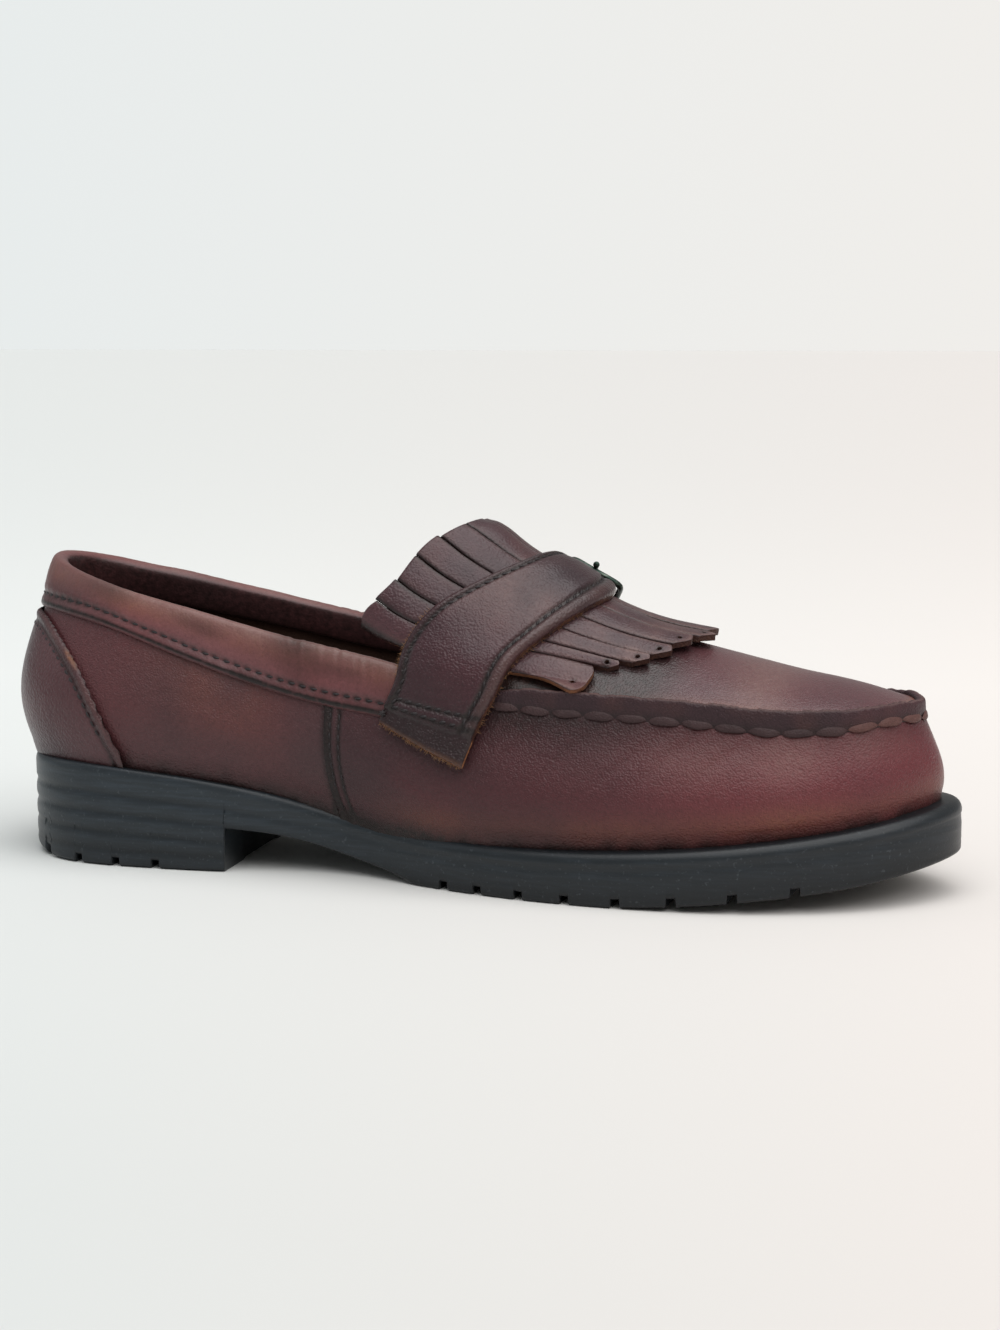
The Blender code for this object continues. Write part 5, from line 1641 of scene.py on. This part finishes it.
centre = (under[:, :1] + under[:, -1:]) / 2
taper = np.sqrt(np.clip(1 - (1 - np.clip((run[-1] - run) / 8.5, 0, 1)) ** 2.2, 0.01, 1))
under = centre + (under - centre) * taper[..., None]
from_rear, from_front = share * wide, (1 - share) * wide
edge = np.minimum(from_rear, from_front)
skive = smooth_step(steps, *SKIVED)[:, None]
flap = 1 - smooth_step(run, FLAP_LONG - 0.7, FLAP_LONG + 0.5)
body = 1 - flap
full = body * (1 - skive)
groove = hump(from_rear, REAR_BORDER, 0.75) + hump(from_front, FRONT_BORDER, 0.75)
end_rows = sum(hump(run, place, 0.7) for place in END_ROWS)
holes = sum(
    hump(np.hypot(run - (run[-1] - back), (share - 0.5) * wide), 0, 0.9) for back in HOLES_FROM_TIP
)
pad = (1 - np.abs(2 * share - 1) ** 2.4) * (1 - skive) * smooth_step(run, 11, 24)
soft = 0.2 * lumps(under, 13, 101) + 0.08 * lumps(under, 4.5, 102)
bent = smooth_step(steps, 4.2, 6.0)[:, None] * (1 - skive)
soft += 0.16 * lumps(under * [0.5, 1.4, 1.0], 3.4, 103) * bent
thick = STRAP_THICK + (STRAP_TIP_THICK - STRAP_THICK) * skive + STRAP_PAD * pad - 0.9 * flap
thick = thick - 0.62 * groove * body * (1 - 0.6 * skive) - 0.35 * end_rows * smooth_step(edge, 1.8, 3.2)
thick += full * (0.22 * hump(from_front, FRONT_BORDER + 1.5, 0.9) + 0.28 * hump(edge, 1.7, 1.3)
                 + 0.3 * hump(from_front, 2.0, 1.5))
thick -= 0.75 * (1 - np.clip(edge / 0.8, 0, 1)) ** 2 + 0.5 * (1 - np.clip(run / 0.7, 0, 1)) ** 2
thick += soft * (1 - 0.7 * flap) - 1.1 * holes
top = under + out * thick[..., None]
points, faces, rim = slab(top, under, levels=(0.15, 0.42, 0.5, 0.58, 0.92), fray=0.22, seed=111)

mottle = lumps(under, 15, 104) * 0.6 + lumps(under, 6, 105) * 0.4
border = body * (1 - np.minimum(smooth_step(from_rear, REAR_BORDER - 0.9, REAR_BORDER),
                                smooth_step(from_front, FRONT_BORDER - 0.9, FRONT_BORDER)))
crest_painted_highlight = hump(steps[:, None], 5.6, 1.3)
end_dark = sum(hump(run, place, 0.8) for place in END_ROWS)
# Painted highlight over the strap's crest; painted shade in the buckle holes and towards the strap's sewn
# end on the inner side. The rubbed borders and front edge are wear.
masks = {
    "worn": 0.12 * border * (0.7 + 0.6 * mottle) * smooth_step(from_front, 30, 0)
    + 0.14 * hump(from_front, 1.5, 1.6) * body * (0.8 + mottle)
    + 0.22 * crest_painted_highlight * np.clip(0.5 + mottle, 0, 1) * (1 - border),
    "dark": groove * body + 0.28 * border + 0.75 * end_dark + 0.45 * flap + 0.9 * holes
    + 0.22 * (1 - smooth_step(run, 14, 34)),
    "red": 0.2 + 0.3 * mottle + 0.2 * hump(steps[:, None], 3.4, 1.4),
    "tan": 0.05 * crest_painted_highlight * (0.5 + mottle),
    "raw": 0.25 * hump(run, 0.2, 0.5),
}
whole = over_slab(masks, thick.shape, len(points))
rubbed = 0.45 * np.clip(0.5 + 0.5 * lumps(points, 7, 106), 0, 1)
whole["raw"] = np.where(rim == 0, whole["raw"], np.where(rim == 1, rubbed, 0.5))
whole["dark"] = np.where(rim == 0, whole["dark"], 0.45)
torn = top[int(np.searchsorted(run[:, 0], TORN_AT)), 0]
for place, reach in ((sewn_end, 16), (torn, 8)):
    bare = (rim == 1) & (np.linalg.norm(points - place, axis=1) < reach)
    whole["raw"] = np.where(bare, 0.95, whole["raw"])
    whole["dark"] = np.where(bare, 0.0, whole["dark"])
strap_leather = leather("padded_strap_leather", "342328", "281b20", "522c32", cells=1600.0,
                        relief=0.85, rough=(0.27, 0.36), coat=0.24)
shoe_piece("padded_strap", points, faces, strap_leather, ["strap"], whole)

run = run[:, 0]
strap_stitches = []
sewn_rows = range(int(np.searchsorted(run, END_ROWS[0])), int(np.searchsorted(steps, STRAP_ROWS_END)))
for side, inset in ((-1, REAR_BORDER), (1, FRONT_BORDER)):
    line, outs = [], []
    for i in sewn_rows:
        place = inset / wide[i, 0] if side < 0 else 1 - inset / wide[i, 0]
        line.append(at_place(top[i], share, place))
        outs.append(at_place(out[i], share, place))
    outs = unit(np.array(outs))
    line = np.array(line) + outs * 0.1
    strap_stitches += stitch_row(line, outs, STRAP_PITCH, 2.5, wide=0.85, tall=0.7, slant=0.42 * side)
for place in END_ROWS:
    row = int(np.searchsorted(run, place))
    inside = (from_rear[row] > REAR_BORDER - 0.6) & (from_front[row] > FRONT_BORDER - 0.6)
    line = top[row][inside] + out[row][inside] * 0.1
    strap_stitches += stitch_row(line, out[row][inside], STRAP_PITCH, 2.5, wide=0.85, tall=0.7, slant=0.3)
corner = int(np.searchsorted(run, 4.0))
for k, turn in enumerate((0.3, 1.4, 2.3)):
    spot = top[corner, 2] + out[corner, 2] * (0.3 + 0.25 * k)
    ahead = unit(top[corner + 3, 2] - top[corner, 2])
    strap_stitches.append(dash(spot, ahead, out[corner, 2], 2.4, 0.8, 0.7, turn))
points, faces = gathered(strap_stitches)
shoe_piece("strap_stitches", points, faces, thread)

# Raw fibres: the flesh side's fuzz, which stands out along the cut edges of the strap.
def fibre(root, ahead, bend, long, thin=0.065):
    """One tapering hair with three sides."""
    side = unit(np.cross(ahead, bend) + 1e-6)
    rings = []
    for f in (0, 0.5, 1):
        middle = root + ahead * long * f + bend * long * 0.4 * f * f
        size = thin * (1 - 0.75 * f)
        rings.append([middle + size * (side * math.cos(a) + unit(bend) * math.sin(a))
                      for a in (0.5, 2.6, 4.7)])
    return tube(rings)


def rim_at(i, j, down, over):
    """The strap's rim at a point of its grid: both faces' points, the way off its edge, and up."""
    return top[i, j], under[i, j], unit(under[i, j] - under[i + down, j + over]), out[i, j]


def strap_rows(start, end):
    return range(int(np.searchsorted(run, start)), int(np.searchsorted(run, end)))


shaved, tree, place = new_finish("raw_leather_fibres")
tint = blended(tree, noise(tree, place, 260.0, 2.0), "6b4732", "b58a60")
surface(tree, {"Base Color": tint, "Roughness": 0.9})
random = np.random.default_rng(7)
FIBRE_RIMS = [
    # the rim's places, how many fibres, how far down it they start
    ([rim_at(0, j, 4, 0) for j in range(2, STRAP_COLUMNS - 2)], 300, 0.2),
    ([rim_at(i, 0, 0, 3) for i in strap_rows(19, 37)], 260, 0.25),
    ([rim_at(i, -1, 0, -3) for i in strap_rows(8, 60)], 120, 0.55),
]
hairs = []
for places, count, low in FIBRE_RIMS:
    for _ in range(count):
        upper, lower, away, lift = places[int(random.integers(len(places)))]
        level = random.uniform(low, 0.95)
        root = upper * (1 - level) + lower * level + random.normal(0, 0.12, 3)
        ahead = unit(away + random.normal(0, 0.5, 3))
        bend = unit(random.normal(0, 1, 3) + lift * 0.3)
        hairs.append(fibre(root, ahead, bend, random.uniform(0.45, 1.4)))
points, faces = gathered(hairs)
shoe_piece("strap_edge_fibres", points, faces, shaved)

# Buckle: a blackened wire frame and its prong, sewn on by a loop of leather that comes up from
# the seam on the outer side.
BUCKLE_U, BUCKLE_V = 0.50, 3.84
BUCKLE_ACROSS, BUCKLE_ALONG, BUCKLE_WIRE = 8.8, 8.0, 0.95
BUCKLE_INNER_LIFT, BUCKLE_BAR_LIFT, BUCKLE_POWER = 4.7, 3.1, 0.36
PRONG_RADIUS, PRONG_HOOK = 0.7, 1.8
PRONG_TIP = (1.0, 1.25, 1.45, 1.3, 0.55)
PRONG_PATH = [
    # along the strap from the buckle's middle, lift: from the bar to the tip
    (5.5, 5.0),
    (1.0, 5.7),
    (-4.5, 6.3),
    (-8.0, 6.5),
    (-9.8, 6.2),
]
CHAPE_WIDTH, CHAPE_THICK = 12.0, 1.1
CHAPE_PATH = [
    # along the strap from the bar, lift: the end of the fold, round the bar and back
    (6.5, 2.4),
    (4.5, 2.8),
    (2.0, 4.1),
    (0.2, 4.8),
    (-1.2, 4.3),
    (-1.7, 3.1),
    (-1.2, 1.9),
    (0.2, 1.4),
    (3.0, 0.95),
    (6.5, 0.9),
]
CHAPE_ON_KILTIE = [
    # u, v, lift
    (0.93, 3.85, 0.95),
    (0.99, 3.88, 1.1),
]
CHAPE_ON_WALL = [
    # station, rise, distance out
    (21.22, 0.96, 3.5),
    (21.28, 0.82, 3.0),
    (21.34, 0.62, 0.85),
    (21.38, 0.42, 0.7),
]
CHAPE_TURN, CHAPE_SPREAD = 24.0, 12.5
CHAPE_SLOT_AT, CHAPE_SLOT_LONG, CHAPE_SLOT_WIDE = 4.6, 1.7, 1.35


def buckle_point(over, along, lift):
    """A place by the buckle: over runs to the front of the shoe, along runs down its outer side."""
    step = 0.02
    per_u = kilt(BUCKLE_U + step, BUCKLE_V) - kilt(BUCKLE_U - step, BUCKLE_V)
    per_v = kilt(BUCKLE_U, BUCKLE_V + step) - kilt(BUCKLE_U, BUCKLE_V - step)
    u = BUCKLE_U + along * 2 * step / np.linalg.norm(per_u)
    v = BUCKLE_V + over * 2 * step / np.linalg.norm(per_v)
    return kilt(u, v, lift)


def wire(path, radius, closed, sides):
    """The points and faces of a round wire along a path; radius may change along it."""
    if closed:
        ahead = unit(np.roll(path, -1, 0) - np.roll(path, 1, 0))
        up = buckle_point(0, 0, 1) - buckle_point(0, 0, 0)
    else:
        ahead = unit(np.gradient(path, axis=0))
        up = buckle_point(1, 0, 0) - buckle_point(-1, 0, 0)
    side = across(ahead, up)[:, None]
    lift = np.cross(side[:, 0], ahead)[:, None]
    angle = ((np.arange(sides) + 0.5) * 2 * math.pi / sides)[None, :, None]
    radius = np.broadcast_to(radius, len(path))[:, None, None]
    return tube(path[:, None] + radius * (np.cos(angle) * side + np.sin(angle) * lift), closed)


metal, tree, place = new_finish("blackened_buckle_metal")
scuffs = node(tree, "Group", {"Vector": place, "Amount": 0.8}, node_tree=dust).outputs
tarnish = noise(tree, place, 420.0, 4.0)
colour = blended(tree, scuffs["Streaks"], blended(tree, tarnish, "23302b", "39453f"), "5d655d")
surface(tree, {"Base Color": colour, "Roughness": ranged(tree, tarnish, 0.22, 0.45), "Metallic": 1.0},
        (tarnish, 0.15, 0.0002))

angle = np.arange(120) * 2 * math.pi / 120
cos, sin = np.cos(angle), np.sin(angle)
over = BUCKLE_ACROSS * np.sign(cos) * np.abs(cos) ** BUCKLE_POWER
along = BUCKLE_ALONG * np.sign(sin) * np.abs(sin) ** BUCKLE_POWER
lift = BUCKLE_INNER_LIFT + (BUCKLE_BAR_LIFT - BUCKLE_INNER_LIFT) * (along / BUCKLE_ALONG + 1) / 2
loop = np.array([buckle_point(*row) for row in zip(over, along, lift)])
loop = np.vstack([loop, loop[:1]])
loop = at_place(loop, run_of(loop), np.linspace(0, run_of(loop)[-1], 97)[:-1]).T
points, faces = wire(loop, BUCKLE_WIRE, True, 16)
shoe_piece("buckle_wire_frame", points, faces, metal, ["buckle_frame"])

turns = np.radians(range(-150, 91, 20))
hook = np.column_stack([np.cos(turns), np.sin(turns)]) * PRONG_HOOK + [BUCKLE_ALONG, BUCKLE_BAR_LIFT]
shank = open_curve(range(len(PRONG_PATH) + 1), [hook[-1], *PRONG_PATH])
shank = shank(np.linspace(0, len(PRONG_PATH), 34))[1:]
line = np.array([buckle_point(0.0, along, lift) for along, lift in np.vstack([hook, shank])])
size = np.full(len(line), PRONG_RADIUS)
size[-len(PRONG_TIP):] *= PRONG_TIP
points, faces = wire(line, size, False, 12)
shoe_piece("buckle_pin", points, faces, metal, ["buckle_prong"])

half = CHAPE_WIDTH / 2
sides = np.linspace(-half, half, 22)
rows = []
for along, lift in CHAPE_PATH:
    rows.append([buckle_point(o, BUCKLE_ALONG + along, lift) for o in sides])
for u, v, lift in CHAPE_ON_KILTIE:
    rows.append([kilt(u, v + o / CHAPE_SPREAD, lift) for o in sides])
for station, rise, off in CHAPE_ON_WALL:
    rows.append([wall(station - o / CHAPE_TURN, rise, off) for o in sides])
rows = np.array(rows)
steps = np.linspace(0, len(rows) - 1, 130)
middle = open_curve(np.arange(len(rows)), rows.reshape(len(rows), -1))(steps)
middle = middle.reshape(len(steps), -1, 3)
full = CHAPE_THICK / 2 * (1 - 0.45 * (1 - np.clip((half - np.abs(sides)) / 0.6, 0, 1)) ** 2)
out = -grid_out(middle) * full[:, None]
along_cells, over_cells = (steps[:-1] + steps[1:]) / 2, (sides[:-1] + sides[1:]) / 2
slot = np.abs(along_cells - CHAPE_SLOT_AT)[:, None] < CHAPE_SLOT_LONG
slot = slot & (np.abs(over_cells) < CHAPE_SLOT_WIDE)
points, faces, rim = slab(middle + out, middle - out, ~slot, levels=(0.15, 0.85), fray=0.06, seed=121)
points, faces, rim = only_used(points, faces, rim)
shoe_piece("buckle_loop_leather", points, faces, strap_leather, ["buckle_chape"],
           {"dark": 0.25 + 0.3 * (rim == 1), "raw": 0.35 * (rim == 1), "red": 0.2})

# Studio: a pale sweep, bluish white towards the heel and warm white towards the toe, under soft
# daylight and three weak lights. The camera stands low on the inner side of the shoe.
FLOOR_REACH = 20.0
TARGET = (151.7, 0.0, 61.1)
AZIMUTH, ELEVATION, DISTANCE = 15.0, 7.9, 724.0
LENS, SENSOR = 64.96, 36.0
VIEW = (-math.sin(math.radians(AZIMUTH)), math.cos(math.radians(AZIMUTH)), 0.0)
HEELWARD = (-VIEW[1], VIEW[0], 0.0)
SWEEP = 0.25
SUN_WATTS, SUN_SPREAD, SUN_FROM = 2.5, 75.0, (0.25, -0.30, 1.0)
AIR_LIGHT = 0.40
NEAR_SPOT, NEAR_REACH, NEAR_SHADE = (0.0, -0.5, 0.0), (0.2, 0.9), 0.85
LIGHTS = [
    # name, place, what it looks at, wide, deep, watts, colour
    ("overhead", (0.12, -0.05, 1.00), (0.02, 0.0, 0.05), 0.8, 0.6, 1.1, (1.0, 0.99, 0.97)),
    ("toe_side", (1.20, -0.45, 0.75), (0.05, 0.0, 0.05), 0.5, 0.4, 1.9, (1.0, 0.97, 0.93)),
    ("heel_side", (-1.20, -0.30, 0.60), (-0.05, 0.0, 0.05), 0.6, 0.5, 0.8, (0.93, 0.97, 1.0)),
]


def swept(tree, side, heel_tint, toe_tint):
    """The tint at a place to the side of the view's middle, from the heel's end to the toe's."""
    return blended(tree, ranged(tree, side, 0.0, 1.0, SWEEP, -SWEEP), heel_tint, toe_tint)


floor_mesh = bpy.data.meshes.new("studio_floor")
work = bmesh.new()
bmesh.ops.create_grid(work, x_segments=1, y_segments=1, size=FLOOR_REACH)
work.to_mesh(floor_mesh)
work.free()
floor = add_object("studio_floor", floor_mesh)
paper, tree, place = new_finish("studio_paper")
depth = sums(tree, "ADD", vector_sum(tree, "DOT_PRODUCT", place, VIEW), DISTANCE * MM)
depth = sums(tree, "MAXIMUM", depth, 0.3)
side = sums(tree, "DIVIDE", vector_sum(tree, "DOT_PRODUCT", place, HEELWARD), depth)
# Painted shade: the paper is darker on the near side, towards the camera.
near = ranged(tree, vector_sum(tree, "DISTANCE", place, NEAR_SPOT), NEAR_SHADE, 1.0, *NEAR_REACH)
sweep = blended(tree, 1.0, swept(tree, side, "e2e6e5", "ece6e2"), near, "MULTIPLY")
surface(tree, {"Base Color": sweep, "Roughness": 0.9})
floor_mesh.materials.append(paper)

bpy.context.scene.view_settings.view_transform = "Standard"
world = bpy.data.worlds.new("studio_air")
bpy.context.scene.world = world
world.use_nodes = True
air = world.node_tree
sky = vector_sum(air, "DOT_PRODUCT", node(air, "TexCoord").outputs["Generated"], HEELWARD)
seen = node(air, "LightPath").outputs["Is Camera Ray"]
backdrop = air.nodes["Background"].inputs
feed(air, backdrop["Color"], swept(air, sky, "e7ecec", "f1eeea"))
feed(air, backdrop["Strength"], ranged(air, seen, AIR_LIGHT, 1.0))
sun = bpy.data.lights.new("soft_daylight", "SUN")
sun.energy, sun.angle = SUN_WATTS, math.radians(SUN_SPREAD)
add_object("soft_daylight", sun, looks=-Vector(SUN_FROM))
for name, spot, aim, wide, deep, watts, tint in LIGHTS:
    light = bpy.data.lights.new(name, "AREA")
    light.shape = "RECTANGLE"
    light.size, light.size_y, light.energy, light.color = wide, deep, watts, tint
    add_object(name, light, spot, Vector(aim) - Vector(spot))

turn, rise = math.radians(AZIMUTH), math.radians(ELEVATION)
back = np.array([math.sin(turn) * math.cos(rise), -math.cos(turn) * math.cos(rise), math.sin(rise)])
lens = bpy.data.cameras.new("camera")
lens.lens, lens.sensor_width, lens.sensor_fit = LENS, SENSOR, "AUTO"
stand = (np.array(TARGET) + SHIFT + back * DISTANCE) * MM
bpy.context.scene.camera = add_object("camera", lens, stand, -back)

bpy.context.view_layer.update()
